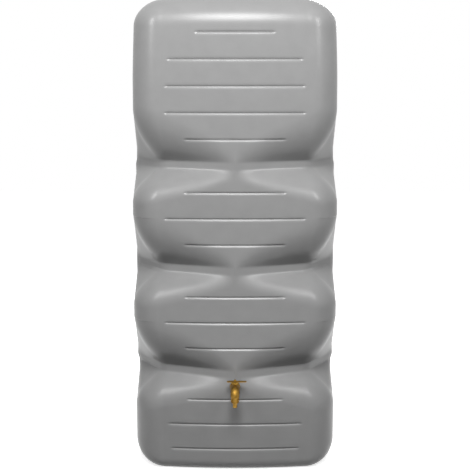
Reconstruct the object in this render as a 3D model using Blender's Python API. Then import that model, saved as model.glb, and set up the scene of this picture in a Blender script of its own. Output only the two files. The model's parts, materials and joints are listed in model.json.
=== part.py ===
"""Slim wall rain barrel: a hollow moulded tank of four stacked bulges, with a push-on filler lid, a brass
lever tap with its hose tail, and two steel angles that hold the tank's top to a wall.

Metres, +Z up. The front faces -Y and the flat back is at +Y. The origin is the centre of the underside.
"""

import math

import bmesh
import bpy
from mathutils import Vector

MM = 0.001

# ---- driving sizes of the tank ----
TANK_HEIGHT = 1.824
HALF_WIDTH = 0.397  # the two middle bulges
TOP_NARROWER = 0.004  # how much less the top bulge reaches, each side
FOOT_NARROWER = 0.006  # and the bottom one
TOP_DRAFT = 0.008  # the top bulge's sides lean in by this much
TOP_DRAFT_LENGTH = 0.330  # over this height below the top
TANK_DEPTH = 0.400
WALL = 5.5 * MM
FRONT_BOW_RADIUS = 2.0  # the front is gently bowed across
CORNER_ACROSS = 0.112  # the big front corner, measured across the front
CORNER_DEEP = 0.125  # and along the side
BACK_CORNER = 0.030
TOP_ROUND = 0.108  # rounding of the top edge at the front and sides
FOOT_ROUND_SIDE = 0.100  # rounding of the bottom edge at the sides
FOOT_ROUND_FRONT = 0.045
BACK_EDGE_ROUND = 0.030
CROWN = 0.006  # drop of the top edge from its middle to its ends
FOOT_LEAN = 0.07  # slope of the lowest front face
FOOT_LEAN_TOP = 0.33  # height at which that slope starts

# ---- grooves and waists ----
FIRST_GROOVE_Z = 0.090
TOP_MARGIN = 0.134  # from the highest groove to the top
GROOVE_STEPS = 16
GROOVE_PITCH = (TANK_HEIGHT - TOP_MARGIN - FIRST_GROOVE_Z) / GROOVE_STEPS
WAIST_STEPS = (3, 7, 11)  # the places on the groove grid that hold a waist
GROOVE_HALF_LENGTHS = {
    0: 0.247, 1: 0.258, 2: 0.185,
    4: 0.192, 5: 0.270, 6: 0.192,
    8: 0.192, 9: 0.270, 10: 0.192,
    12: 0.192, 13: 0.266, 14: 0.264, 15: 0.254, 16: 0.150,
}  # fmt: skip
GROOVE_HALF_HEIGHT = 8 * MM
GROOVE_DEPTH = 3.5 * MM
GROOVE_RUN_OUT = 0.014
BAND_HALF = 0.014  # half height of the flat strip along a waist
GABLE_SLOPE = 0.40  # how steeply a waist falls back from the middle of the front
GABLE_CORNER = 0.030  # rounding where the waist turns to the side
WAIST_SIDE_END = 0.105  # where a waist reaches the sides, from the back
WAIST_SIDE_SHARE = 2 / 3  # the share of the side's columns up to there
FLANK_LEAST = 0.008
FLANK_RATIO = 0.95  # height of a flank over the depth that it climbs
FLANK_STRAIGHT = 0.7  # share of the flank's height that is straight
FLANK_END = 2 - FLANK_STRAIGHT  # where its blend runs out level with the bulge
BAND_GROWS = 0.4  # how much further the strip reaches on the inside, as a share of the wall
ROUND_TIGHTENS = 0.75  # share of a corner's radius that is lost where the top or foot is fully rounded in
GROOVE_END_SHARE = 0.15  # depth left at a groove's very end

# ---- columns round the half outline, and rings up a flank or a rounding ----
FRONT_COLUMNS = 4
CORNER_COLUMNS = 5
SIDE_COLUMNS = 3
BACK_CORNER_COLUMNS = 2
FLANK_STATIONS = (0.0, FLANK_STRAIGHT, 1.0, FLANK_END)
ROUND_STATIONS = (0.0, 0.25, 0.5, 0.75, 1.0)

# ---- filler neck and lid ----
NECK_FROM_BACK_EDGE = 0.027
NECK_INNER_R = 0.0695
NECK_WALL = 5.0 * MM
NECK_OUTER_R = NECK_INNER_R + NECK_WALL
NECK_ROOM = 0.0255  # clear floor round the neck
WELL_DEPTH = 0.032
WELL_TAPER = 3 * MM  # how much wider the well is at its lip than at its floor
NECK_BELOW_TOP = 15 * MM
WELL_LIP_R = NECK_OUTER_R + NECK_ROOM + WELL_TAPER
WELL_FLOOR_Z = TANK_HEIGHT - WELL_DEPTH
NECK_RIM_Z = TANK_HEIGHT - NECK_BELOW_TOP
GAP = 0.3 * MM  # between pieces that touch
EDGE = 1.0 * MM  # the usual chamfer
CUT_PAST = 5.0 * MM  # how far a cutter runs past what it cuts
SEAL_THICK = 2.5 * MM
LID_THICK = 4.0 * MM
LID_CLEARANCE = 1.0 * MM
LID_SKIRT_WALL = 3.0 * MM
LID_BRIM = 5.0 * MM
LID_SKIRT_ABOVE_FLOOR = 4.0 * MM
GRIP_HALF_LENGTH = 0.052
GRIP_HALF_WIDTH = 8.0 * MM
GRIP_HEIGHT = 6.0 * MM
GRIP_CHAMFER = 2.5 * MM

# ---- tap ----
TAP_BELOW_WAIST = 0.042
BORE_R = 7.5 * MM
THREAD_R = 13.2 * MM
THREAD_CLEARANCE = 0.4 * MM
WASHER_R = THREAD_R + 5.8 * MM
WASHER_THICK = 3.0 * MM
PAD_R = WASHER_R + 4.5 * MM
PAD_PROUD = 3.0 * MM
PAD_INSIDE = 4.0 * MM
FLANGE_THICK = 4.0 * MM
LOCK_NUT_THICK = 8.0 * MM
LOCK_NUT_R = THREAD_R + 6.8 * MM
INLET_PAST_NUT = 2.5 * MM
BALL_R = 11.0 * MM
CHAMBER_R = BALL_R + 1.5 * MM
CHAMBER_HALF = BALL_R + 2.0 * MM
BARREL_R = CHAMBER_R + 4.5 * MM
SEAT_ANGLE = 42.0  # direction in which a seat's cone leans on the ball, from square to the barrel
SEAT_RIM = 2.0 * MM
LEVER_LONG = 44.0 * MM
LEVER_SHORT = 31.0 * MM
LEVER_HALF_WIDTH = 8.0 * MM
LEVER_LONG_TIP = 5.0 * MM  # half widths of the two ends
LEVER_SHORT_TIP = 7.5 * MM
LEVER_THICK = 3.5 * MM
LEVER_NUT_R = 6.8 * MM
LEVER_NUT_THICK = 4.5 * MM
STEM_REACH = LEVER_SHORT + 3.0 * MM  # stem axis to the pad's face
STEM_R = 4.5 * MM
STEM_TOP_R = 3.5 * MM
TANG_HALF_LENGTH = 3.6 * MM
STEM_ABOVE_BALL = 0.6 * MM
STEM_ABOVE_GLAND = 0.7 * MM
STEM_ABOVE_NUT = 1.5 * MM
SLOT_WIDTH = 3.4 * MM
SLOT_DEPTH = 2.6 * MM
BOSS_R = 11.0 * MM
BOSS_TOP = BARREL_R + 1.5 * MM
PACKING_R = 7.0 * MM
PACKING_FLOOR = CHAMBER_R + 1.5 * MM
PACKING_THICK = 2.8 * MM
GLAND_R = 14.5 * MM
GLAND_TOP = BOSS_TOP + 6.0 * MM
SPIGOT_LENGTH = 5.0 * MM
BARREL_END = STEM_REACH + CHAMBER_HALF + SPIGOT_LENGTH
BEND_START = BARREL_END + 3.0 * MM
BEND_RADIUS = BARREL_R + 3.0 * MM
SPOUT_THREAD_R = BORE_R + 3.5 * MM
SPOUT_THREAD_LENGTH = 18.0 * MM
HOSE_WASHER_THICK = 2.0 * MM
UNION_R = SPOUT_THREAD_R + 4.0 * MM
UNION_LIP = 2.0 * MM
TAIL_COLLAR = 2.4 * MM
TAIL_R = SPOUT_THREAD_R - 2.0 * MM
TAIL_BORE_R = BORE_R - 1.5 * MM
TAIL_LENGTH = 16.0 * MM
TAIL_BARBS = 2
BARB_DEPTH = 1.0 * MM
UNION_CHAMFER = 0.8 * MM

# ---- wall angles ----
ANGLE_X = 0.200
ANGLE_WIDTH = 0.030
ANGLE_THICK = 2.5 * MM
ANGLE_LEG = 0.045
ANGLE_UP = 0.0215
ANGLE_HOLE_R = 3.2 * MM
ANGLE_HOLE_UP = 0.0125
BLOCK_HALF_X = 0.018
BLOCK_FRONT = 0.052  # the moulded block under an angle, from the tank's back
BLOCK_BACK = 0.012
BLOCK_PROUD = 2.5 * MM
BLOCK_THICK = 0.021
BUSH_R = 5.5 * MM
BUSH_LENGTH = 0.013
SCREW_R = 3.0 * MM
SCREW_LENGTH = 0.014
SCREW_HEAD_R = 6.0 * MM
SCREW_HEAD_THICK = 3.4 * MM
SCREW_FROM_BACK = 0.032
SCREW_CHAMFER = 1.2 * MM
SCREW_TOP_SHARE = 0.7  # how much of the head's radius its flat top keeps

# ---- places worked out from the sizes ----
FRONT_Y = -TANK_DEPTH / 2
BACK_Y = TANK_DEPTH / 2
TOP_EDGE_HALF = HALF_WIDTH - TOP_NARROWER - TOP_DRAFT - TOP_ROUND
WAIST_Z = tuple(FIRST_GROOVE_Z + GROOVE_PITCH * step for step in WAIST_STEPS)
NECK_Y = BACK_Y - BACK_EDGE_ROUND - WELL_LIP_R - NECK_FROM_BACK_EDGE
TAP_Z = WAIST_Z[0] - TAP_BELOW_WAIST
PAD_FACE_Y = FRONT_Y - PAD_PROUD
PAD_BACK = PAD_PROUD + WALL + PAD_INSIDE  # thickness of the tap's pad
SPOUT_REACH = BEND_START + BEND_RADIUS
BLOCK_TOP_Z = TANK_HEIGHT - CROWN * (ANGLE_X / TOP_EDGE_HALF) ** 2 + BLOCK_PROUD

COLOURS = {
    "grey_polyethylene": ((0.33, 0.33, 0.33, 1.0), 0.45, 0.0),
    "brass": ((0.55, 0.38, 0.12, 1.0), 0.28, 1.0),
    "black_rubber": ((0.02, 0.02, 0.02, 1.0), 0.7, 0.0),
    "white_ptfe": ((0.8, 0.8, 0.78, 1.0), 0.5, 0.0),
    "chromed_brass": ((0.75, 0.75, 0.76, 1.0), 0.12, 1.0),
    "zinc_steel": ((0.6, 0.61, 0.62, 1.0), 0.35, 1.0),
}


# ---------------------------------------------------------------- small tools


def material(name):
    """The named finish, made once."""
    found = bpy.data.materials.get(name)
    if found:
        return found
    made = bpy.data.materials.new(name)
    made.use_nodes = True
    colour, roughness, metallic = COLOURS[name]
    shader = made.node_tree.nodes["Principled BSDF"]
    shader.inputs["Base Color"].default_value = colour
    shader.inputs["Roughness"].default_value = roughness
    shader.inputs["Metallic"].default_value = metallic
    made.diffuse_color = colour
    return made


def add_empty(name, location, rotation=(0, 0, 0)):
    empty = bpy.data.objects.new(name, None)
    empty.location = location
    empty.rotation_euler = rotation
    bpy.context.scene.collection.objects.link(empty)
    return empty


def add_object(name, bm, finish=None, parent=None, sharp_angle=35):
    """Turns a bmesh into an object, smooth except at sharp edges."""
    bmesh.ops.recalc_face_normals(bm, faces=bm.faces)
    mesh = bpy.data.meshes.new(name)
    bm.to_mesh(mesh)
    bm.free()
    mesh.shade_smooth()
    mesh.set_sharp_from_angle(angle=math.radians(sharp_angle))
    if finish:
        mesh.materials.append(material(finish))
    made = bpy.data.objects.new(name, mesh)
    made.parent = parent
    bpy.context.scene.collection.objects.link(made)
    return made


def add_cutter(name, bm, parent=None):
    """A shape that only cuts or joins another one."""
    made = add_object(name, bm, parent=parent)
    made.hide_render = True
    made.display_type = "WIRE"
    return made


def combine(target, other, operation):
    """Adds a Boolean of target with other: DIFFERENCE or UNION."""
    modifier = target.modifiers.new(f"{operation.lower()}_{other.name}", "BOOLEAN")
    modifier.operation = operation
    modifier.object = other


def spun(profile, segments):
    """A closed (radius, height) outline turned about Z."""
    bm = bmesh.new()
    verts = [bm.verts.new((r, 0, h)) for r, h in profile]
    edges = [bm.edges.new((a, b)) for a, b in zip(verts, verts[1:] + verts[:1])]
    bmesh.ops.spin(
        bm, geom=verts + edges, cent=(0, 0, 0), axis=(0, 0, 1), dvec=(0, 0, 0),
        angle=2 * math.pi, steps=segments, use_merge=True, use_duplicate=False,
    )  # fmt: skip
    bmesh.ops.remove_doubles(bm, verts=bm.verts, dist=1e-7)
    bmesh.ops.dissolve_degenerate(bm, edges=bm.edges, dist=1e-7)
    return bm


def ring_profile(inner, outer, low, high):
    return [(inner, low), (outer, low), (outer, high), (inner, high)]


def prism(sides, radius, low, high):
    """A bar of that many sides standing on Z; radius reaches to its corners."""
    bm = bmesh.new()
    bmesh.ops.create_cone(
        bm, cap_ends=True, segments=sides, radius1=radius, radius2=radius, depth=high - low
    )
    bmesh.ops.translate(bm, verts=bm.verts, vec=(0, 0, (low + high) / 2))
    return bm


def box(low, high):
    """A box between two corners."""
    bm = bmesh.new()
    bmesh.ops.create_cube(bm, size=1.0)
    size = Vector(high) - Vector(low)
    bmesh.ops.scale(bm, verts=bm.verts, vec=size)
    bmesh.ops.translate(bm, verts=bm.verts, vec=(Vector(low) + Vector(high)) / 2)
    return bm


def skin(bm, rings, close=True):
    """Quads between neighbouring rings of points, and a face over each end where close is set."""
    loops = [[bm.verts.new(p) for p in ring] for ring in rings]
    for low, high in zip(loops, loops[1:]):
        for i in range(len(low)):
            j = (i + 1) % len(low)
            bm.faces.new((low[i], low[j], high[j], high[i]))
    if close:
        bm.faces.new(loops[0])
        bm.faces.new(loops[-1])
    return loops


# ---------------------------------------------------------------- the tank's outline


def shares(count):
    return [i / count for i in range(count + 1)]


def bow(x):
    """How far the bowed front lies behind its foremost line."""
    return FRONT_BOW_RADIUS - math.sqrt(FRONT_BOW_RADIUS**2 - x * x)


def back_stretch(half, back_y, radius):
    """The back corner and the back, from the end of the side to the middle of the back."""
    corner = [
        (
            half - radius * (1 - math.cos(t * math.pi / 2)),
            back_y - radius * (1 - math.sin(t * math.pi / 2)),
        )
        for t in shares(BACK_CORNER_COLUMNS)
    ]
    return corner[1:] + [(0.0, back_y)]


def bulge_outline(half, front_y, back_y, across, deep, back_radius):
    """Half of a bulge's outline, from the middle of the front round to the middle of the back."""
    start = half - across
    front = [(start * t, front_y + bow(start * t)) for t in shares(FRONT_COLUMNS)]
    y0 = front[-1][1]
    corner = [
        (start + across * math.sin(t * math.pi / 2), y0 + deep * (1 - math.cos(t * math.pi / 2)))
        for t in shares(CORNER_COLUMNS)
    ]
    side_start, side_end = y0 + deep, back_y - back_radius
    side = [(half, side_start + (side_end - side_start) * t) for t in shares(SIDE_COLUMNS)]
    return front + corner[1:] + side[1:] + back_stretch(half, back_y, back_radius)


def curve_point(a, b, c, t):
    """A point of the quadratic curve that leaves a towards b and reaches c."""
    return tuple(
        (1 - t) ** 2 * p + 2 * t * (1 - t) * q + t * t * r for p, q, r in zip(a, b, c)
    )


def waist_outline(half, front_y, back_y, across, back_radius):
    """Half of a waist's outline: a gable from the middle of the front, then a long slanted side."""
    knee = Vector((half - across, front_y + GABLE_SLOPE * (half - across)))
    hip = Vector((half, back_y - WAIST_SIDE_END))
    ridge = Vector((0.0, front_y))
    end = Vector((half, back_y - back_radius))
    before = knee + (ridge - knee).normalized() * GABLE_CORNER
    after = knee + (hip - knee).normalized() * GABLE_CORNER
    front = [tuple(ridge.lerp(before, t)) for t in shares(FRONT_COLUMNS)]
    corner = [curve_point(before, knee, after, t) for t in shares(CORNER_COLUMNS)]
    side = []
    for t in shares(SIDE_COLUMNS):
        if t <= WAIST_SIDE_SHARE:
            side.append(tuple(after.lerp(hip, t / WAIST_SIDE_SHARE)))
        else:
            side.append(tuple(hip.lerp(end, (t - WAIST_SIDE_SHARE) / (1 - WAIST_SIDE_SHARE))))
    return front + corner[1:] + side[1:] + back_stretch(half, back_y, back_radius)


def round_inset(height, radius):
    """How far a rounded edge has drawn in, at that height above its end."""
    rise = min(max(radius - height, 0.0), radius)
    return radius - math.sqrt(radius**2 - rise**2)


def smooth(t):
    t = min(max(t, 0.0), 1.0)
    return t * t * (3 - 2 * t)


def half_width_at(z):
    """Half width of the tank, which changes gently across the lowest and highest waists."""
    foot = 1 - smooth((z - WAIST_Z[0] + BAND_HALF) / (2 * BAND_HALF))
    top = smooth((z - WAIST_Z[-1] + BAND_HALF) / (2 * BAND_HALF))
    draft = TOP_DRAFT * smooth(1 - (TANK_HEIGHT - z) / TOP_DRAFT_LENGTH)
    return HALF_WIDTH - foot * FOOT_NARROWER - top * TOP_NARROWER - draft


def outlines_at(z, inset):
    """The bulge's and the waist's half outlines at a height, drawn in by the wall where inset is set."""
    low, high = z - inset, TANK_HEIGHT - inset - z
    foot = round_inset(low, FOOT_ROUND_SIDE - inset)
    top = round_inset(high, TOP_ROUND - inset)
    front = FRONT_Y + inset + FOOT_LEAN * max(0.0, FOOT_LEAN_TOP - z)
    front += round_inset(low, FOOT_ROUND_FRONT - inset) + top
    edge = BACK_EDGE_ROUND - inset
    back = BACK_Y - inset - round_inset(low, edge) - round_inset(high, edge)
    half = half_width_at(z) - inset - foot - top
    kept = 1 - ROUND_TIGHTENS * max(foot / FOOT_ROUND_SIDE, top / TOP_ROUND)
    across, deep = (CORNER_ACROSS - inset) * kept, (CORNER_DEEP - inset) * kept
    back_radius = (BACK_CORNER - inset) * kept
    bulge = bulge_outline(half, front, back, across, deep, back_radius)
    waist = waist_outline(half, front, back, across, back_radius)
    return bulge, waist


def recess(column, inset):
    """How deep a waist lies under the bulges, at one column."""
    bulge, waist = outlines_at(WAIST_Z[1], inset)
    return (Vector(bulge[column]) - Vector(waist[column])).length


def sink_share(station):
    """Share of the recess at a station up a flank: straight at first, then blending into the bulge."""
    if station <= FLANK_STRAIGHT:
        return 1 - station
    run = FLANK_END - FLANK_STRAIGHT
    left = 1 - FLANK_STRAIGHT
    over = station - FLANK_STRAIGHT
    return left - over + over * over * left / (run * run) if over < run else 0.0


def mirrored(half_points):
    """A whole outline from its half, anticlockwise from the middle of the front."""
    return half_points + [(-x, y, z) for x, y, z in reversed(half_points[1:-1])]


def waist_ring(waist_z, side, station, inset):
    """One ring of a flank above (side 1) or below (side -1) a waist. Each column has its own height."""
    ring = []
    count = len(outlines_at(waist_z, inset)[0])
    for column in range(count):
        flank = FLANK_LEAST + FLANK_RATIO * recess(column, inset)
        z = waist_z + side * (BAND_HALF + BAND_GROWS * inset + station * flank)
        bulge, waist = outlines_at(z, inset)
        point = Vector(bulge[column]).lerp(Vector(waist[column]), sink_share(station))
        ring.append((*point, z))
    return mirrored(ring)


def plain_ring(z, inset):
    """A ring of the plain bulge. Near the top its ends drop by the crown."""
    points = []
    near_top = smooth(1 - (TANK_HEIGHT - inset - z) / (TOP_ROUND - inset))
    for x, y in outlines_at(z, inset)[0]:
        points.append((x, y, z - CROWN * near_top * (x / TOP_EDGE_HALF) ** 2))
    return mirrored(points)


def body_rings(inset):
    """Rings from the foot of the tank to its top edge."""
    foot_round, top_round = FOOT_ROUND_SIDE - inset, TOP_ROUND - inset
    rings = []
    for t in ROUND_STATIONS:
        rings.append(plain_ring(inset + foot_round * (1 - math.cos(t * math.pi / 2)), inset))
    for waist_z in WAIST_Z:
        for station in reversed(FLANK_STATIONS):
            rings.append(waist_ring(waist_z, -1, station, inset))
        for station in FLANK_STATIONS:
            rings.append(waist_ring(waist_z, 1, station, inset))
    for t in reversed(ROUND_STATIONS):
        z = TANK_HEIGHT - inset - top_round * (1 - math.cos(t * math.pi / 2))
        rings.append(plain_ring(z, inset))
    return rings


def neck_ring(count, radius, z):
    """A round ring of the filler neck, which starts at the front as the outlines do."""
    ring = []
    for i in range(count):
        angle = 2 * math.pi * i / count
        ring.append((radius * math.sin(angle), NECK_Y - radius * math.cos(angle), z))
    return ring


def groove_half_length_at(step, z):
    """A groove's half length, kept off the rounded front corners."""
    return min(GROOVE_HALF_LENGTHS[step], half_width_at(z) - CORNER_ACROSS)


def groove_cutter(bm, step):
    """One groove's bar, three-sided, following the bowed front and running out at both ends."""
    z = FIRST_GROOVE_Z + GROOVE_PITCH * step
    half = groove_half_length_at(step, z)
    front = FRONT_Y + FOOT_LEAN * max(0.0, FOOT_LEAN_TOP - z)
    places = [-half, -half + GROOVE_RUN_OUT, -half / 3, half / 3, half - GROOVE_RUN_OUT, half]
    stand_off = GROOVE_DEPTH  # the cutter's outer face stays this far off the front
    rings = []
    for x in places:
        face = front + bow(x)
        share = GROOVE_END_SHARE if abs(x) == half else 1.0
        rings.append(
            [
                (x, face + GROOVE_DEPTH * share, z),
                (x, face - stand_off, z + 2 * GROOVE_HALF_HEIGHT),
                (x, face - stand_off, z - 2 * GROOVE_HALF_HEIGHT),
            ]
        )
    skin(bm, rings)


# ---------------------------------------------------------------- the tank and its lid


def make_tank():
    outer, inner = body_rings(0.0), body_rings(WALL)
    lip, floor_r = WELL_LIP_R, WELL_LIP_R - WELL_TAPER
    count = len(outer[-1])
    neck = [
        neck_ring(count, lip, TANK_HEIGHT),
        neck_ring(count, floor_r, WELL_FLOOR_Z),
        neck_ring(count, NECK_OUTER_R, WELL_FLOOR_Z),
        neck_ring(count, NECK_OUTER_R, NECK_RIM_Z),
        neck_ring(count, NECK_INNER_R, NECK_RIM_Z),
        neck_ring(count, NECK_INNER_R, WELL_FLOOR_Z - WALL),
        neck_ring(count, floor_r + WALL, WELL_FLOOR_Z - WALL),
        neck_ring(count, lip + WALL, TANK_HEIGHT - WALL),
    ]
    bm = bmesh.new()
    skin(bm, outer + neck + inner[::-1])
    tank = add_object("tank_shell", bm, "grey_polyethylene", sharp_angle=30)

    for side, word in ((-1, "left"), (1, "right")):
        block = box(
            (side * ANGLE_X - BLOCK_HALF_X, BACK_Y - BLOCK_FRONT, BLOCK_TOP_Z - BLOCK_THICK),
            (side * ANGLE_X + BLOCK_HALF_X, BACK_Y - BLOCK_BACK, BLOCK_TOP_Z),
        )
        combine(tank, add_cutter(f"angle_block_{word}", block), "UNION")
        hole = prism(12, BUSH_R + GAP, BLOCK_TOP_Z - BUSH_LENGTH - GAP, BLOCK_TOP_Z + CUT_PAST)
        hole_object = add_cutter(f"bush_hole_{word}", hole)
        hole_object.location = (side * ANGLE_X, BACK_Y - SCREW_FROM_BACK, 0)
        combine(tank, hole_object, "DIFFERENCE")

    pad = add_cutter("tap_pad", prism(20, PAD_R, -PAD_BACK, 0), tap_axis)
    combine(tank, pad, "UNION")
    hole_r = THREAD_R + THREAD_CLEARANCE
    hole = add_cutter("tap_hole", prism(20, hole_r, -PAD_BACK - CUT_PAST, CUT_PAST), tap_axis)
    combine(tank, hole, "DIFFERENCE")

    bm = bmesh.new()
    for step in GROOVE_HALF_LENGTHS:
        groove_cutter(bm, step)
    combine(tank, add_cutter("groove_bars", bm), "DIFFERENCE")


def make_lid():
    """The push-on cover and the soft ring that it clamps on the neck's rim."""
    seal_low = NECK_RIM_Z + GAP
    under = seal_low + SEAL_THICK + GAP
    top = under + LID_THICK
    skirt_in = NECK_OUTER_R + LID_CLEARANCE
    skirt_out = skirt_in + LID_SKIRT_WALL
    skirt_low = WELL_FLOOR_Z + LID_SKIRT_ABOVE_FLOOR
    brim = skirt_out + LID_BRIM
    centre = add_empty("lid_axis", (0, NECK_Y, 0))
    profile = [
        (0, under),
        (skirt_in, under),
        (skirt_in, skirt_low),
        (skirt_out, skirt_low),
        (skirt_out, under),
        (brim, under),
        (brim, top - EDGE),
        (brim - EDGE, top),
        (0, top),
    ]
    lid = add_object("lid", spun(profile, 32), "grey_polyethylene", centre)
    grip = box(
        (-GRIP_HALF_LENGTH, -GRIP_HALF_WIDTH, top - EDGE),
        (GRIP_HALF_LENGTH, GRIP_HALF_WIDTH, top + GRIP_HEIGHT),
    )
    bmesh.ops.bevel(grip, geom=grip.edges[:], offset=GRIP_CHAMFER, segments=1, affect="EDGES")
    combine(lid, add_cutter("lid_grip", grip, centre), "UNION")
    ring = ring_profile(NECK_INNER_R, NECK_OUTER_R, seal_low, seal_low + SEAL_THICK)
    add_object("lid_seal", spun(ring, 32), "black_rubber", centre)


# ---------------------------------------------------------------- the tap


def turned(name, profile, finish, parent, segments=20):
    return add_object(name, spun(profile, segments), finish, parent)


def hex_nut(name, radius, hole_r, low, high, finish, parent):
    nut = add_object(name, prism(6, radius, low, high), finish, parent)
    hole = add_cutter(f"{name}_hole", prism(16, hole_r, low - CUT_PAST, high + CUT_PAST), parent)
    combine(nut, hole, "DIFFERENCE")
    return nut


def make_wall_fixing():
    """Washers each side of the tank's wall and the nut that pulls the tap against it."""
    hole_r = THREAD_R + THREAD_CLEARANCE
    outside = ring_profile(hole_r, WASHER_R, GAP, GAP + WASHER_THICK)
    turned("tap_washer_outer", outside, "black_rubber", tap_axis)
    high = -PAD_BACK - GAP
    inside = ring_profile(hole_r, WASHER_R, high - WASHER_THICK, high)
    turned("tap_washer_inner", inside, "black_rubber", tap_axis)
    high -= WASHER_THICK + GAP
    low = high - LOCK_NUT_THICK
    hex_nut("tap_lock_nut", LOCK_NUT_R, hole_r, low, high, "brass", tap_axis)


def make_tap_body():
    """The cast barrel: threaded inlet, flange, and the chamber that holds the ball."""
    flange_low = GAP + WASHER_THICK + GAP
    inlet_end = -PAD_BACK - WASHER_THICK - LOCK_NUT_THICK - INLET_PAST_NUT
    chamber_low = STEM_REACH - CHAMBER_HALF
    flange_high = flange_low + FLANGE_THICK
    profile = [
        (BORE_R, inlet_end),
        (THREAD_R - EDGE, inlet_end),
        (THREAD_R, inlet_end + EDGE),
        (THREAD_R, flange_low),
        (WASHER_R, flange_low),
        (WASHER_R, flange_high),
        (BARREL_R, flange_high + EDGE),
        (BARREL_R, BARREL_END),
        (CHAMBER_R, BARREL_END),
        (CHAMBER_R, chamber_low),
        (BORE_R, chamber_low),
    ]
    body = turned("tap_body", profile, "brass", tap_axis)
    boss = add_cutter("tap_boss", prism(20, BOSS_R, PACKING_FLOOR - 0.5 * MM, BOSS_TOP), stem_axis)
    combine(body, boss, "UNION")
    room = add_cutter("packing_room", prism(16, PACKING_R, PACKING_FLOOR, BOSS_TOP + CUT_PAST), stem_axis)
    combine(body, room, "DIFFERENCE")
    stem_hole_r = STEM_R + GAP
    hole = add_cutter("stem_hole", prism(16, stem_hole_r, BALL_R / 2, BOSS_TOP + CUT_PAST), stem_axis)
    combine(body, hole, "DIFFERENCE")


def make_ball_and_seats():
    """The ball, bored along X so that it is shut at rest, and the soft ring on each side of it."""
    half = math.sqrt(BALL_R**2 - BORE_R**2)
    end = math.asin(half / BALL_R)
    steps = 8
    outer = [
        (BALL_R * math.cos(a), BALL_R * math.sin(a))
        for a in (end * (2 * i / steps - 1) for i in range(steps + 1))
    ]
    ball = turned("tap_ball", outer, "chromed_brass", stem_axis)
    ball.rotation_euler = (0, math.pi / 2, 0)
    slot = box(
        (-BALL_R, -SLOT_WIDTH / 2, BALL_R - SLOT_DEPTH),
        (BALL_R, SLOT_WIDTH / 2, BALL_R + 2 * MM),
    )
    combine(ball, add_cutter("ball_slot", slot, stem_axis), "DIFFERENCE")
    seat_r = CHAMBER_R - GAP
    lean = math.radians(SEAT_ANGLE)
    bore_edge, rim_edge = (
        (BALL_R + GAP - r * math.cos(lean)) / math.sin(lean) for r in (BORE_R, seat_r - SEAT_RIM)
    )
    for side, word in ((-1, "rear"), (1, "front")):
        face = STEM_REACH + side * (CHAMBER_HALF - GAP)
        profile = [
            (BORE_R, face),
            (seat_r, face),
            (seat_r, STEM_REACH + side * rim_edge),
            (seat_r - SEAT_RIM, STEM_REACH + side * rim_edge),
            (BORE_R, STEM_REACH + side * bore_edge),
        ]
        turned(f"tap_seat_{word}", profile, "white_ptfe", tap_axis)


def make_stem_and_lever():
    shoulder = GLAND_TOP + STEM_ABOVE_GLAND
    lever_low = shoulder + GAP
    nut_low = lever_low + LEVER_THICK + GAP
    stem_top = nut_low + LEVER_NUT_THICK + STEM_ABOVE_NUT
    neck = BALL_R + STEM_ABOVE_BALL
    profile = [(0, neck), (STEM_R, neck), (STEM_R, shoulder), (STEM_TOP_R, shoulder)]
    profile += [(STEM_TOP_R, stem_top - 0.5 * MM), (STEM_TOP_R - 0.5 * MM, stem_top), (0, stem_top)]
    stem = turned("tap_stem", profile, "brass", stem_axis, 16)
    tang = box(
        (-TANG_HALF_LENGTH, -SLOT_WIDTH / 2 + GAP, BALL_R - SLOT_DEPTH + 2 * GAP),
        (TANG_HALF_LENGTH, SLOT_WIDTH / 2 - GAP, neck + EDGE),
    )
    combine(stem, add_cutter("stem_tang", tang, stem_axis), "UNION")

    lever = add_object("tap_lever", lever_bar(lever_low), "brass", stem_axis)
    hole_r = STEM_TOP_R + GAP
    hole = add_cutter("lever_hole", prism(16, hole_r, lever_low - CUT_PAST, nut_low + CUT_PAST), stem_axis)
    combine(lever, hole, "DIFFERENCE")
    nut_high = nut_low + LEVER_NUT_THICK
    hex_nut("tap_lever_nut", LEVER_NUT_R, hole_r, nut_low, nut_high, "brass", stem_axis)


def lever_bar(low):
    """The flat lever: one long and one short wing about the stem, each with a round end."""
    outline = []
    for side, reach, tip in ((1, LEVER_LONG, LEVER_LONG_TIP), (-1, LEVER_SHORT, LEVER_SHORT_TIP)):
        for i in range(5):
            a = math.radians(-90 + 45 * i)
            outline.append((side * (reach - tip + tip * math.cos(a)), side * tip * math.sin(a)))
        outline += [
            (side * LEVER_HALF_WIDTH / 2, side * LEVER_HALF_WIDTH),
            (-side * LEVER_HALF_WIDTH / 2, side * LEVER_HALF_WIDTH),
        ]
    bm = bmesh.new()
    face = bm.faces.new([bm.verts.new((x, y, low)) for x, y in outline])
    moved = bmesh.ops.extrude_face_region(bm, geom=[face])["geom"]
    top = [v for v in moved if isinstance(v, bmesh.types.BMVert)]
    bmesh.ops.translate(bm, verts=top, vec=(0, 0, LEVER_THICK))
    return bm


def make_gland():
    """The soft packing round the stem and the nut that presses it down."""
    inner = STEM_R + GAP
    outer = PACKING_R - GAP
    low = PACKING_FLOOR + GAP
    turned("stem_packing", ring_profile(inner, outer, low, low + PACKING_THICK), "white_ptfe", stem_axis, 16)
    nut = hex_nut("gland_nut", GLAND_R, inner, BOSS_TOP + GAP, GLAND_TOP, "brass", stem_axis)
    skirt = spun(ring_profile(inner, outer, low + PACKING_THICK + GAP, BOSS_TOP + EDGE), 16)
    combine(nut, add_cutter("gland_skirt", skirt, stem_axis), "UNION")


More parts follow.
